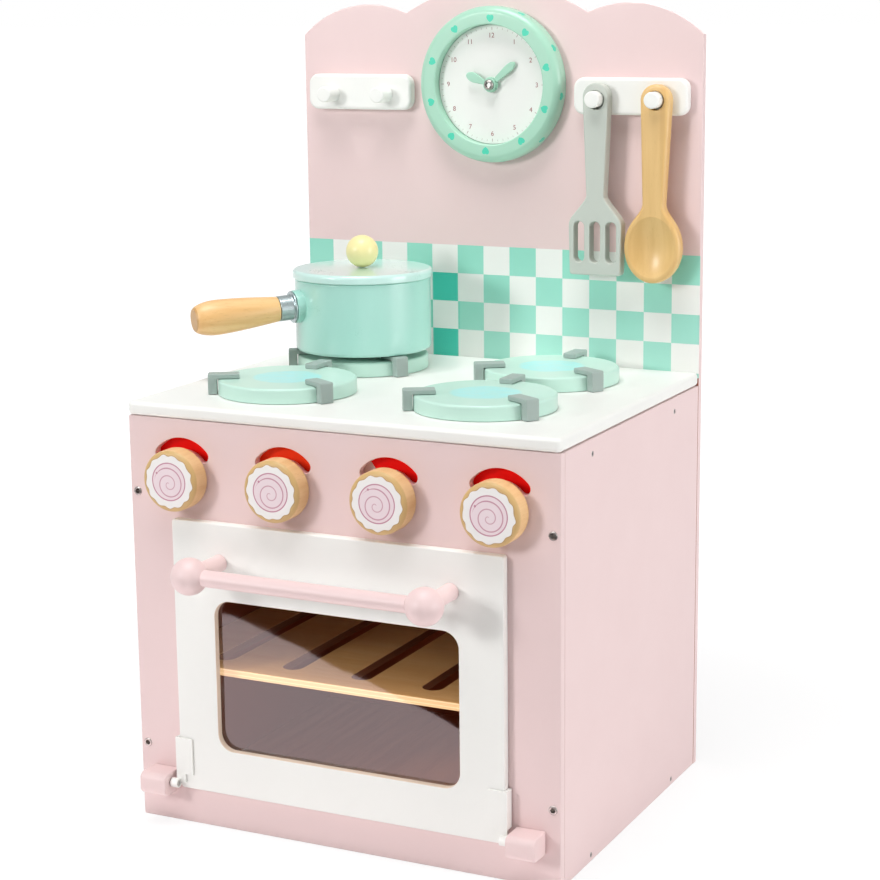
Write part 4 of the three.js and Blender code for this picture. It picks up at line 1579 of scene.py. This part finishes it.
@dataclass
class Door:
    """The framed door with its smoked pane, handle, clips, pins and brackets."""

    packed: Packed
    frame_paint: FramePaint = FramePaint("door_white_paint", Tone.WHITE)
    smoke: SmokedPlastic = SmokedPlastic("smoked_plastic")
    window: tuple[float, float, float, float] = (86.0, 56.0, 156.0, 11.0)
    lip: float = 7.3
    rebate: float = 1.9
    ball: float = 11.8
    post: float = 5.4
    pin: float = 2.0
    hinge_y: float = -132.4
    hinge_z: float = 30.1
    bracket_corner: float = 4.5
    bore_depth: float = 13.0
    ease: float = 0.9
    pane_ease: float = 0.15
    bracket_ease: float = 1.0
    window_ease: float = 0.6
    cut_y: float = 3.2
    cut_normal: Triple = (0.0, 7.4, -4.2)

    def panel(self) -> None:
        """Make the door's frame, rebated behind for the pane and cut back at its lower rear edge."""
        low, high = self.packed.span("door_panel")
        half, bottom, top, corner = self.window
        window = rounded_box(-half, half, bottom, top, corner, 12)
        outline = rounded_box(low[0], high[0], low[2], high[2], 2.2, 5)
        rebate = (window, self.window_ease, self.lip, self.rebate)
        board = Board(outline, high[1] - low[1], self.ease, rebates=[rebate])
        shell = board.draw(Shell("door_frame"), Place.facing(0, high[1], 0))
        shell.trim((0.0, float(high[1]) - self.cut_y, float(low[2]) - 1), self.cut_normal)
        shell.make(self.frame_paint, "door", ["door_panel"], "white_paint")

    def pane(self) -> None:
        """Make the smoked sheet."""
        low, high = self.packed.span("window_pane")
        outline = rounded_box(low[0], high[0], low[2], high[2], 0.6, 2)
        board = Board(outline, high[1] - low[1], self.pane_ease, steps=1)
        place = Place.facing(0, high[1], 0)
        board.make("smoked_pane", place, self.smoke, "door", ["window_pane"], "smoked_acrylic")

    def handle(self) -> None:
        """Make the ball posts and the bar between them."""
        for side in ("left", "right"):
            node = f"door_handle_post_{side}"
            low, high = self.packed.span(node)
            x, _, z = self.packed.centre(node)
            reach = high[1] - low[1] - self.ball
            start = -math.degrees(math.acos(self.post / self.ball))
            profile = np.concatenate([
                line_of((0, 0), (self.post + 0.2, 0), (self.post, 0.5), (self.post, 3.0)),
                arc(0, reach, self.ball, start, 90, 24),
            ])
            place = Place.facing(x, high[1], z)
            turned(f"handle_ball_{side}", profile, place, PINK_PAINT, "door", [node], "pink_paint", 56)
        low, high = self.packed.span("door_handle_bar")
        _, y, z = self.packed.centre("door_handle_bar")
        radius = (high[2] - low[2]) / 2
        end = high[0] + 0.2
        middle = 30.0
        profile = line_of(
            (0, -end), (radius, -end), (radius, -middle), (radius, middle), (radius, end), (0, end)
        )
        place = Place.sideways(0.0, y, z)
        turned("handle_bar", profile, place, PINK_PAINT, "door", ["door_handle_bar"], "pink_paint", 48)

    def bracket(self, side: str) -> None:
        """Make one hinge bracket: a block with two round front edges and a blind bore for its pin.

        Args:
            side: left or right.
        """
        node = f"hinge_bracket_{side}"
        low, high = self.packed.span(node)
        corner, front, back = self.bracket_corner, low[1], high[1]
        outline = np.concatenate([
            line_of((back, high[2])), arc(front + corner, high[2] - corner, corner, 90, 180, 10),
            arc(front + corner, low[2] + corner, corner, 180, 270, 10), line_of((back, low[2])),
        ])
        bore = ring(self.hinge_y, self.hinge_z, self.pin + 0.3, 24)
        inner_face = (low if side == "right" else high)[0]
        outwards = 1.0 if side == "left" else -1.0
        if side == "right":
            outline, bore = mirrored(outline), mirrored(bore)
        thick = high[0] - low[0]
        place = Place((inner_face - outwards * thick, 0.0, 0.0), (0.0, outwards, 0.0), UPWARD)
        board = Board(outline, thick, self.bracket_ease, pockets=[(bore, self.bore_depth)])
        board.make(f"bracket_{side}", place, PINK_PAINT, "root", [node], "pink_paint")

    def pin_and_clip(self, side: str) -> None:
        """Make one pivot pin, and dress the white clip that turns on it.

        Args:
            side: left or right.
        """
        pin_node, clip_node = f"hinge_pin_{side}", f"door_corner_clip_{side}"
        low, high = self.packed.span(pin_node)
        _, y, z = self.packed.centre(pin_node)
        length = high[0] - low[0]
        profile = np.concatenate([
            line_of((0, 0)), lower(self.pin, 0, 0.4, 3), upper(self.pin, length, 0.4, 3),
            line_of((0, length)),
        ])
        place = Place.sideways(low[0], y, z)
        turned(f"steel_pin_{side}", profile, place, PLATED_STEEL, "root", [pin_node], "steel", 32)
        self.packed.dress(clip_node, WHITE_PLASTIC)

    def build(self) -> None:
        """Build the door and its hinges."""
        self.panel()
        self.pane()
        self.handle()
        for side in ("left", "right"):
            self.bracket(side)
            self.pin_and_clip(side)


@dataclass(frozen=True)
class Hand:
    """A clock hand, drawn pointing up: a round eye, a narrow neck and a leaf with a blunt tip."""

    node: str
    angle: float
    eye: float
    neck: float
    leaf: float
    shoulder: float
    length: float


@dataclass
class Clock:
    """The play clock: a turned ring with hearts, a dial with numerals, two hands and a screw."""

    packed: Packed
    z: float = 470.0
    inner: float = 40.6
    round: float = 5.5
    numeral_radius: float = 33.3
    numeral_size: float = 4.6
    ink: float = 0.03
    hand_ease: float = 0.35
    hole: float = 1.8
    shank: float = 1.5
    head_rise: float = 1.6
    hands: tuple[Hand, ...] = (
        Hand("minute_hand", 50.0, 5.2, 1.6, 2.7, 16.0, 23.2),
        Hand("hour_hand", -68.0, 4.6, 1.5, 3.3, 12.0, 18.5),
    )

    def ring(self) -> None:
        """Make the ring, rounded well over its outer front edge."""
        low, high = self.packed.span("clock_ring")
        outer, thick = (high[0] - low[0]) / 2, high[1] - low[1]
        profile = np.concatenate([
            line_of((self.inner, 0)), lower(outer, 0, 1.0, 3),
            arc(outer - self.round, thick - self.round, self.round, 0, 84, 10),
            arc(self.inner + 0.8, thick - 0.8, 0.8, 90, 180, 4), line_of((self.inner, 0)),
        ])
        paint = HeartPaint("heart_mint_paint", Tone.RING_MINT, roughness=0.38, coat=0.35)
        place = Place.facing(0, high[1], self.z)
        turned("heart_ring", profile, place, paint, "root", ["clock_ring"], "mint_paint", 120)

    def dial(self) -> None:
        """Make the sunk dial and its raised ink numerals."""
        low, high = self.packed.span("clock_face")
        radius, thick = (high[0] - low[0]) / 2, high[1] - low[1]
        back = line_of((self.hole, 0), (radius, 0), (radius, thick))
        front = line_of((radius - 10, thick), (self.hole, thick), (self.hole, 0))
        profile = np.concatenate([back, front])
        place = Place.facing(0, high[1], self.z)
        paint = DialPaint("dial_paint", Tone.WHITE)
        turned("dial", profile, place, paint, "root", ["clock_face"], "white_paint", 96)
        self.numerals(float(low[1]))

    def numerals(self, face_y: float) -> None:
        """Make the numerals 1 to 12 as one thin mesh, each upright and centred on its place.

        Args:
            face_y: the depth of the dial's face.
        """
        numbers = Shell("numerals")
        for hour in range(1, 13):
            text = bpy.data.curves.new(f"text_{hour}", "FONT")
            text.body = str(hour)
            text.size = self.numeral_size * MM
            text.extrude = self.ink * MM
            text.align_x = "CENTER"
            text.align_y = "CENTER"
            holder = bpy.data.objects.new(f"text_{hour}", text)
            mesh = bpy.data.meshes.new_from_object(holder)
            flat = np.empty(len(mesh.vertices) * 3)
            mesh.vertices.foreach_get("co", flat)
            points = flat.reshape(-1, 3)
            middle = (points.min(axis=0) + points.max(axis=0)) / 2
            angle = math.radians(30 * hour)
            x = self.numeral_radius * math.sin(angle)
            z = self.z + self.numeral_radius * math.cos(angle)
            local = (points - middle) / MM
            place = Place.facing(x, face_y - 0.02, z)
            numbers.patch(place.put(local), [tuple(face.vertices) for face in mesh.polygons])
            bpy.data.objects.remove(holder)
            bpy.data.curves.remove(text)
            bpy.data.meshes.remove(mesh)
        numbers.make(NUMERAL_INK, "root")

    def hand(self, hand: Hand) -> None:
        """Make one hand, with a hole in its eye for the hub screw.

        Args:
            hand: its sizes and its angle.
        """
        low, high = self.packed.span(hand.node)
        leaf, shoulder, length = hand.leaf, hand.shoulder, hand.length
        open_angle = math.degrees(math.asin(hand.neck / hand.eye))
        tip = leaf * 0.25
        swell, narrow = (leaf, shoulder + 3), (leaf * 0.9, length - leaf * 0.5)
        right = bezier((leaf, shoulder), swell, narrow, (tip, length), 10)
        eye = arc(0, 0, hand.eye, 90 + open_angle, 450 - open_angle, 40)
        outline = np.concatenate([eye, right, mirrored(right)])
        hole = ring(0, 0, self.hole, 24)
        board = Board(outline, high[1] - low[1], self.hand_ease, steps=3, holes=[(hole, 0.1)])
        place = Place.facing(0, high[1], self.z, hand.angle)
        board.make(f"painted_{hand.node}", place, HAND_PAINT, hand.node, [hand.node], "mint_paint")

    def screw(self) -> None:
        """Make the socket screw in the middle."""
        low, high = self.packed.span("clock_screw")
        reach = high[1] - low[1] - self.head_rise
        profile = line_of((0, 0), (self.shank, 0), (self.shank, reach), (0, reach))
        place = Place.facing(0, high[1], self.z)
        turned("hub_shank", profile, place, PLATED_STEEL, "root", ["clock_screw"], "steel", 24)
        head, seat = (high[0] - low[0]) / 2, Place.facing(0, low[1] + self.head_rise, self.z)
        screw_head("hub_screw_head", seat, head, self.head_rise, 0.0, "root")

    def build(self) -> None:
        """Build the clock."""
        self.ring()
        self.dial()
        for hand in self.hands:
            self.hand(hand)
        self.screw()


@dataclass
class Rails:
    """The two white hook rails, and the spatula and the spoon that hang on the right one."""

    packed: Packed
    corner: float = 7.0
    thick: float = 8.5
    ease: float = 2.0
    peg: float = 5.5
    peg_offset: float = 21.0
    peg_below: float = 1.5
    hole: float = 6.3
    hang_gap: float = 0.3
    rail_x: float = 102.0
    spatula_ease: float = 1.0
    spoon_ease: float = 2.4
    spoon_tilt: float = 0.8

    def rail(self, side: str) -> None:
        """Make one rail with its two round pegs.

        Args:
            side: left or right.
        """
        node = f"hook_rail_{side}"
        low, high = self.packed.span(node)
        x = (low[0] + high[0]) / 2
        front = high[1] - self.thick
        shell = Shell(f"white_rail_{side}")
        outline = rounded_box(low[0], high[0], low[2], high[2], self.corner, 10)
        Board(outline, self.thick, self.ease, steps=6).draw(shell, Place.facing(0, high[1], 0))
        reach = front - low[1]
        profile = np.concatenate([
            line_of((0, -1), (self.peg, -1), (self.peg, reach / 2)),
            upper(self.peg, reach, 1.1, 6), line_of((0, reach)),
        ])
        for direction in (-1, 1):
            peg_z = (low[2] + high[2]) / 2 - self.peg_below
            shell.turn(profile, Place.facing(x + direction * self.peg_offset, front, peg_z), 48)
        shell.make(WHITE_PAINT, "root", [node], "white_paint")

    def hang_place(self, node: str, x: float, tilt: float = 0.0) -> Place:
        """Find the place of what hangs on a peg, from the centre of its hole.

        Args:
            node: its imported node.
            x: the peg's place across the board.
            tilt: degrees that it leans clockwise.

        Returns:
            The place, with height 0 at its back face.
        """
        _, high = self.packed.span(node)
        peg_z = self.packed.centre("hook_rail_right")[2] - self.peg_below
        return Place.facing(x, high[1], peg_z - (self.hole - self.peg - self.hang_gap), tilt)

    def spatula(self) -> None:
        """Make the slotted turner, drawn from the centre of its hole."""
        handle, neck, blade, top = 9.1, 6.3, 19.0, 11.2
        neck_z, shoulder_z, blade_z, corner = -63.5, -80.0, -117.3, 3.0
        side = blade - 0.7
        tip, heel = (blade - corner, blade_z), (side, blade_z + corner)
        bulge, bend = (blade, shoulder_z - 1), (blade - 1.5, shoulder_z + 1.4)
        slope, waist = (blade - 4, shoulder_z + 4), (neck + 2.8, neck_z - 5)
        right = np.concatenate([
            bezier(tip, (blade - 1.4, blade_z), (side, blade_z + 1), heel, 6),
            bezier((blade, shoulder_z - 5), bulge, bend, slope, 8),
            bezier(slope, waist, (neck + 0.2, neck_z - 3), (neck, neck_z), 10),
        ])
        crown = arc(0, top - handle, handle, 0, 180, 24)
        outline = np.concatenate([right, crown, mirrored(right)])
        slot_half, slot_xs = 3.9, (-11.5, 0.0, 11.5)
        slot_low, slot_high = blade_z + 8.5, shoulder_z - 1
        holes = [(ring(0, 0, self.hole), 0.6)]
        for x in slot_xs:
            slot = rounded_box(x - slot_half, x + slot_half, slot_low, slot_high, slot_half - 0.01, 8)
            holes.append((slot, 0.7))
        low, high = self.packed.span("spatula")
        board = Board(outline, high[1] - low[1], self.spatula_ease, steps=5, holes=holes)
        place = self.hang_place("spatula", self.rail_x - self.peg_offset)
        board.make("grey_spatula", place, SILVER_PAINT, "spatula", ["spatula"], "silver_paint")

    def spoon(self) -> None:
        """Make the spoon: a rounded blank with an oval hollow, whose depth is deep * (1 - s * s)."""
        handle, neck, top, neck_z = 10.4, 7.6, 10.6, -68.0
        half, bowl_z, up, down, deep = 19.9, -97.4, 28.0, 23.6, 4.4
        shoulder, cheek, end = bowl_z + up * 0.62, bowl_z - down * 0.58, bowl_z - down
        right = np.concatenate([
            bezier((0, end), (half * 0.52, end), (half, cheek), (half, bowl_z), 18),
            bezier((half, bowl_z), (half, shoulder), (neck, neck_z - 8), (neck, neck_z), 18),
        ])
        crown = arc(0, top - handle, handle, 0, 180, 24)
        outline = np.concatenate([right, crown, mirrored(right)])
        centre = (0.0, bowl_z + 0.6)
        oval = ring(0, 0, 1, 72) * np.array([half - 3.4, down - 3.0]) + np.array(centre)
        scale = np.cos(np.linspace(0, math.pi / 2, 14))
        hollow = np.stack([scale, deep * (1 - scale**2)], axis=1)
        low, high = self.packed.span("spoon")
        board = Board(
            outline, high[1] - low[1], self.spoon_ease, steps=8,
            holes=[(ring(0, 0, self.hole), 1.0)], dishes=[(oval, centre, hollow)],
        )
        wood = Timber(
            "spoon_beech", Tone.SPOON_LIGHT, Tone.SPOON_DARK, UPWARD, 8.0, fleck=0.15, coat=0.3
        )
        place = self.hang_place("spoon", self.rail_x + self.peg_offset, self.spoon_tilt)
        board.make("beech_spoon", place, wood, "spoon", ["spoon"], "beech")

    def build(self) -> None:
        """Build the rails and what hangs on them."""
        self.rail("left")
        self.rail("right")
        self.spatula()
        self.spoon()


@dataclass
class Saucepan:
    """The saucepan with its lid, ball, ferrule and wooden handle."""

    packed: Packed
    x: float = -70.0
    y: float = 48.3
    radius: float = 46.5
    wall: float = 3.0
    top: float = 342.0
    edge: float = 2.5
    angle: float = -130.5
    slope: float = 3.6
    handle_z: float = 327.5
    boss: float = 11.2
    flange: float = 10.8
    flange_at: float = 51.1
    ferrule_end: float = 62.1
    neck: float = 8.5
    widest: float = 11.8
    butt: float = 7.5
    end: float = 121.34
    lid_radius: float = 47.9
    lid_thick: float = 5.9
    lid_plug: float = 3.0
    lid_edge: float = 2.4

    def outwards(self) -> Place:
        """Return the handle's place: heights run out from the pan's axis and down along the handle."""
        turn, fall = math.radians(self.angle), math.radians(self.slope)
        upward = (math.sin(fall) * math.cos(turn), math.sin(fall) * math.sin(turn), math.cos(fall))
        return Place((self.x, self.y, self.handle_z), (-math.sin(turn), math.cos(turn), 0.0), upward)

    def body(self) -> None:
        """Make the pan's wall and floor, with the boss that carries the handle."""
        bottom = self.packed.span("pan_body")[0][2]
        inner, floor = self.radius - self.wall, bottom + self.wall
        profile = np.concatenate([
            line_of((0, bottom)), lower(self.radius, bottom, self.edge, 8),
            upper(self.radius, self.top, 1, 4), arc(inner + 1, self.top - 1, 1, 90, 180, 4),
            arc(inner - 3, floor + 3, 3, 0, -90, 6), line_of((0, floor)),
        ])
        shell = Shell("mint_pan").turn(profile, Place.lying(self.x, self.y, 0), 128)
        wall_at, boss_end = inner - 0.9, self.flange_at - 0.3
        boss = np.concatenate([
            line_of((0, wall_at), (self.boss, wall_at)),
            upper(self.boss, boss_end, 0.6, 5), line_of((0, boss_end)),
        ])
        shell.turn(boss, self.outwards(), 64)
        shell.make(PAN_PAINT, "pan", ["pan_body"], "mint_paint")

    def ferrule(self) -> None:
        """Make the metal ferrule: a straight tube with a thin flange."""
        start, stop, tube = self.flange_at, self.ferrule_end, self.neck + 0.1
        foot, bend = (tube + 0.6, start + 1.35), (tube + 0.2, start + 1.4)
        profile = np.concatenate([
            line_of((0, start)), lower(self.flange, start, 0.5, 4),
            arc(self.flange - 0.5, start + 0.8, 0.5, 0, 80, 4),
            bezier(foot, bend, (tube, start + 1.6), (tube, start + 2.2), 4),
            upper(tube, stop, 0.4, 3), line_of((0, stop)),
        ])
        place = self.outwards()
        turned("pan_collar", profile, place, FERRULE_STEEL, "pan", ["pan_ferrule"], "silver_paint", 56)

    def grip(self) -> None:
        """Make the wooden grip, which swells from its neck and then narrows to a flat butt."""
        start = self.ferrule_end + 0.3
        neck, wide, butt, end = self.neck, self.widest, self.butt, self.end
        belly = (wide, end - 17)
        profile = np.concatenate([
            line_of((0, start)), lower(neck, start, 0.4, 2),
            bezier((neck, start + 0.6), (neck + 1.1, start + 12), (wide - 0.5, end - 34), belly, 20),
            bezier(belly, (wide + 0.2, end - 10), (wide - 1.2, end - 3.2), (butt + 0.5, end - 0.4), 14),
            line_of((butt, end), (0, end)),
        ])
        turn = math.radians(self.angle)
        grain = (math.cos(turn), math.sin(turn), 0.0)
        end_at = self.x * grain[0] + self.y * grain[1] + self.end - 0.9
        wood = Timber(
            "grip_beech", Tone.GRIP_LIGHT, Tone.GRIP_DARK, grain, 6.5,
            fleck=0.3, coat=0.12, end_at=end_at,
        )
        turned("beech_grip", profile, self.outwards(), wood, "pan", ["pan_handle"], "beech", 64)

    def lid(self) -> None:
        """Make the lid with its plug, and its ball knob."""
        _, high = self.packed.span("pan_lid")
        radius, thick, plug = self.lid_radius, self.lid_thick, self.lid_plug
        low = float(high[2]) - thick
        plug_radius = self.radius - self.wall - 1
        profile = np.concatenate([
            line_of((0, low - plug)), lower(plug_radius, low - plug, 0.5, 3),
            line_of((plug_radius, low)), lower(radius, low, 0.8, 4),
            upper(radius, low + thick, self.lid_edge, 8), line_of((0, low + thick)),
        ])
        place = Place.lying(self.x, self.y, 0)
        turned("mint_lid", profile, place, LID_LIT_PAINT, "lid", ["pan_lid"], "mint_paint", 128)
        ball_low, ball_high = self.packed.span("lid_knob")
        ball = (ball_high[0] - ball_low[0]) / 2
        middle = ball_high[2] - ball
        start = -math.degrees(math.asin(min((middle - ball_low[2]) / ball, 1.0)))
        profile = np.concatenate([line_of((0, ball_low[2])), arc(0, middle, ball, start, 90, 28)])
        turned("yellow_ball", profile, place, YELLOW_PAINT, "lid", ["lid_knob"], "yellow_paint", 56)

    def build(self) -> None:
        """Build the pan."""
        self.body()
        self.ferrule()
        self.grip()
        self.lid()


@dataclass(frozen=True)
class Lamp:
    """A square soft lamp that faces a target; places and its side in metres."""

    name: str
    place: Triple
    target: Triple
    side: float
    watts: float
    colour: Triple = (1.0, 1.0, 1.0)

    def light(self) -> Object:
        """Add the lamp to the scene."""
        light = bpy.data.lights.new(self.name, "AREA")
        light.size = self.side
        light.energy = self.watts
        light.color = self.colour
        lamp = added(self.name, light)
        lamp.location = self.place
        facing = Vector(self.target) - Vector(self.place)
        lamp.rotation_euler = facing.to_track_quat("-Z", "Y").to_euler()
        return lamp


@dataclass
class Studio:
    """The camera at the photograph's angle, a white sweep and soft lights."""

    azimuth: float = 26.271
    elevation: float = 11.849
    roll: float = -0.621
    distance: float = 1391.18
    aim: Triple = (18.48, -13.69, 246.52)
    lens: float = 87.27
    fill: float = 0.03
    mirrored_air: float = 0.7
    glare: Triple = (2.25, 1.85, 1.9)
    floor_reach: float = 30.0
    floor_level: float = -0.0002
    floor_glow: float = 1.1
    glow_share: float = 0.74
    shadow_reach: Pair = (300.0, 700.0)
    lamps: tuple[Lamp, ...] = (
        Lamp("key", (-1.0, -1.9, 0.95), (0.0, 0.0, 0.2), 0.5, 19.5),
        Lamp("high_key", (-1.2, -1.5, 2.0), (0.0, 0.0, 0.3), 0.6, 1.5),
        Lamp("side", (1.95, 0.0, 0.55), (0.0, 0.0, 0.15), 0.9, 19.5),
        Lamp("overhead", (0.0, -0.4, 2.0), (0.0, 0.0, 0.3), 1.0, 26.5),
        Lamp("back", (-0.4, 2.2, 0.9), (0.0, 0.0, 0.25), 1.2, 16.0),
    )
    oven_lamp: Lamp = Lamp(
        "oven_glow", (0.0, -0.1158, 0.106), (0.0, 0.0, 0.106), 0.2, 0.056, (1.0, 0.83, 0.69)
    )
    oven_lamp_height: float = 0.09

    def camera(self) -> None:
        """Place the camera on the line that leaves its aim at the azimuth and the elevation."""
        turn, lift, lean = (math.radians(angle) for angle in (self.azimuth, self.elevation, self.roll))
        ahead = math.cos(lift)
        back = np.array([math.sin(turn) * ahead, -math.cos(turn) * ahead, math.sin(lift)])
        level = np.array([math.cos(turn), math.sin(turn), 0.0])
        upward = np.cross(back, level)
        right = math.cos(lean) * level + math.sin(lean) * upward
        top = math.cos(lean) * upward - math.sin(lean) * level
        pose = Matrix(np.stack([right, top, back], axis=1).tolist()).to_4x4()
        pose.translation = Vector(((np.array(self.aim) + back * self.distance) * MM).tolist())
        lens = bpy.data.cameras.new("camera")
        lens.sensor_width = 36.0
        lens.lens = self.lens
        lens.clip_end = 50.0
        camera = added("camera", lens)
        camera.matrix_world = pose
        bpy.context.scene.camera = camera

    def oven_glow(self) -> None:
        """Add the soft daylight of a bright room that comes in through the oven's window."""
        lamp = self.oven_lamp.light()
        lamp.data.shape = "RECTANGLE"
        lamp.data.size_y = self.oven_lamp_height
        hide_from(lamp, "camera", "glossy", "transmission")

    def world(self) -> None:
        """Show white to the camera, grey to mirrors and almost nothing to matt surfaces."""
        world = bpy.data.worlds.new("studio_air")
        bpy.context.scene.world = world
        world.use_nodes = True
        nodes, links = world.node_tree.nodes, world.node_tree.links
        nodes.clear()
        path = nodes.new("ShaderNodeLightPath")
        strength: Socket | None = None
        for ray, value in (("Is Glossy Ray", self.mirrored_air), ("Is Diffuse Ray", self.fill)):
            step = nodes.new("ShaderNodeMix")
            step.inputs["A"].default_value = 1.0
            step.inputs["B"].default_value = value
            links.new(path.outputs[ray], step.inputs["Factor"])
            if strength is not None:
                links.new(strength, step.inputs["A"])
            strength = step.outputs["Result"]
        air = nodes.new("ShaderNodeBackground")
        air.inputs["Color"].default_value = (1.0, 1.0, 1.0, 1.0)
        links.new(strength, air.inputs["Strength"])
        out = nodes.new("ShaderNodeOutputWorld")
        links.new(air.outputs[0], out.inputs["Surface"])

    def floor(self) -> None:
        """Lay a white floor that glows most of the way to white for the camera and keeps the shadow."""
        graph = Graph("studio_floor")
        mottle = graph.noise(graph.place(), 60.0)
        white = graph.mix(mottle, Tone.FLOOR_LIGHT.value, Tone.FLOOR_DARK.value)
        lit = graph.node("ShaderNodeBsdfDiffuse", values={"Color": white})
        glow = graph.node(
            "ShaderNodeEmission", values={"Color": (1.0, 1.0, 1.0, 1.0), "Strength": self.floor_glow}
        )
        path = graph.node("ShaderNodeLightPath")
        direct, mirror = (Signal(graph, path.outputs[f"Is {ray} Ray"]) for ray in ("Camera", "Glossy"))
        x, y, _ = graph.split(graph.place())
        far = distance(x, y).soft(*self.shadow_reach)
        share = self.glow_share + (1 - self.glow_share) * far
        material = graph.finish(graph.blend(graph.math("MAXIMUM", direct, mirror) * share, lit, glow))
        reach = self.floor_reach
        outline = [(-reach, -reach), (reach, -reach), (reach, reach), (-reach, reach)]
        floor = self.sheet("floor", outline, self.floor_level, material)

    def sheet(
        self, name: str, outline: Sequence[Pair], level: float, material: Material
    ) -> Object:
        """Lay a flat sheet.

        Args:
            name: its name.
            outline: its corners in metres.
            level: its height in metres.
            material: its material.

        Returns:
            The sheet.
        """
        mesh = bpy.data.meshes.new(name)
        mesh.from_pydata([(x, y, level) for x, y in outline], [], [tuple(range(len(outline)))])
        mesh.materials.append(material)
        return added(name, mesh)

    def card(self, name: str, colour: Triple, outline: Sequence[Pair]) -> None:
        """Lay a card just over the floor that only mirrors see.

        Args:
            name: its name.
            colour: its light, which may be over 1.
            outline: its corners in metres.
        """
        graph = Graph(name)
        glow = graph.node("ShaderNodeEmission", values={"Color": (*colour, 1.0)})
        card = self.sheet(name, outline, 0.001, graph.finish(glow.outputs[0]))
        hide_from(card, "camera", "diffuse", "transmission", "volume_scatter", "shadow")

    def table_edge(self) -> None:
        """Lay the lit table before the oven and the dark past its edge, as the window mirrors them."""
        edge = [(-0.60, -0.543), (-0.337, -0.543), (0.10, -0.283), (0.30, -0.15)]
        beyond = [(0.7, -0.15), (0.7, -2.5), (-1.5, -2.5), (-1.5, -0.543)]
        self.card("lit_table", self.glare, [*edge, (0.30, -0.13), (-0.60, -0.13)])
        self.card("dark_room", (0.0, 0.0, 0.0), [*edge, *beyond])

    def build(self) -> None:
        """Build the studio."""
        self.camera()
        self.world()
        self.floor()
        self.table_edge()
        for lamp in self.lamps:
            lamp.light()
        self.oven_glow()
        bpy.context.scene.view_settings.view_transform = "Standard"


def main() -> None:
    """Build the studio and every sub-assembly."""
    logging.basicConfig(level=logging.INFO, format="%(name)s: %(message)s")
    packed = Packed(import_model())
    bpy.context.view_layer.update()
    for part in (
        Studio(), Cabinet(packed), Shelf(packed), Controls(packed), Hob(packed),
        Door(packed), Clock(packed), Rails(packed), Saucepan(packed),
    ):
        part.build()
        LOG.info("%s built", type(part).__name__)


if __name__ == "__main__":
    main()
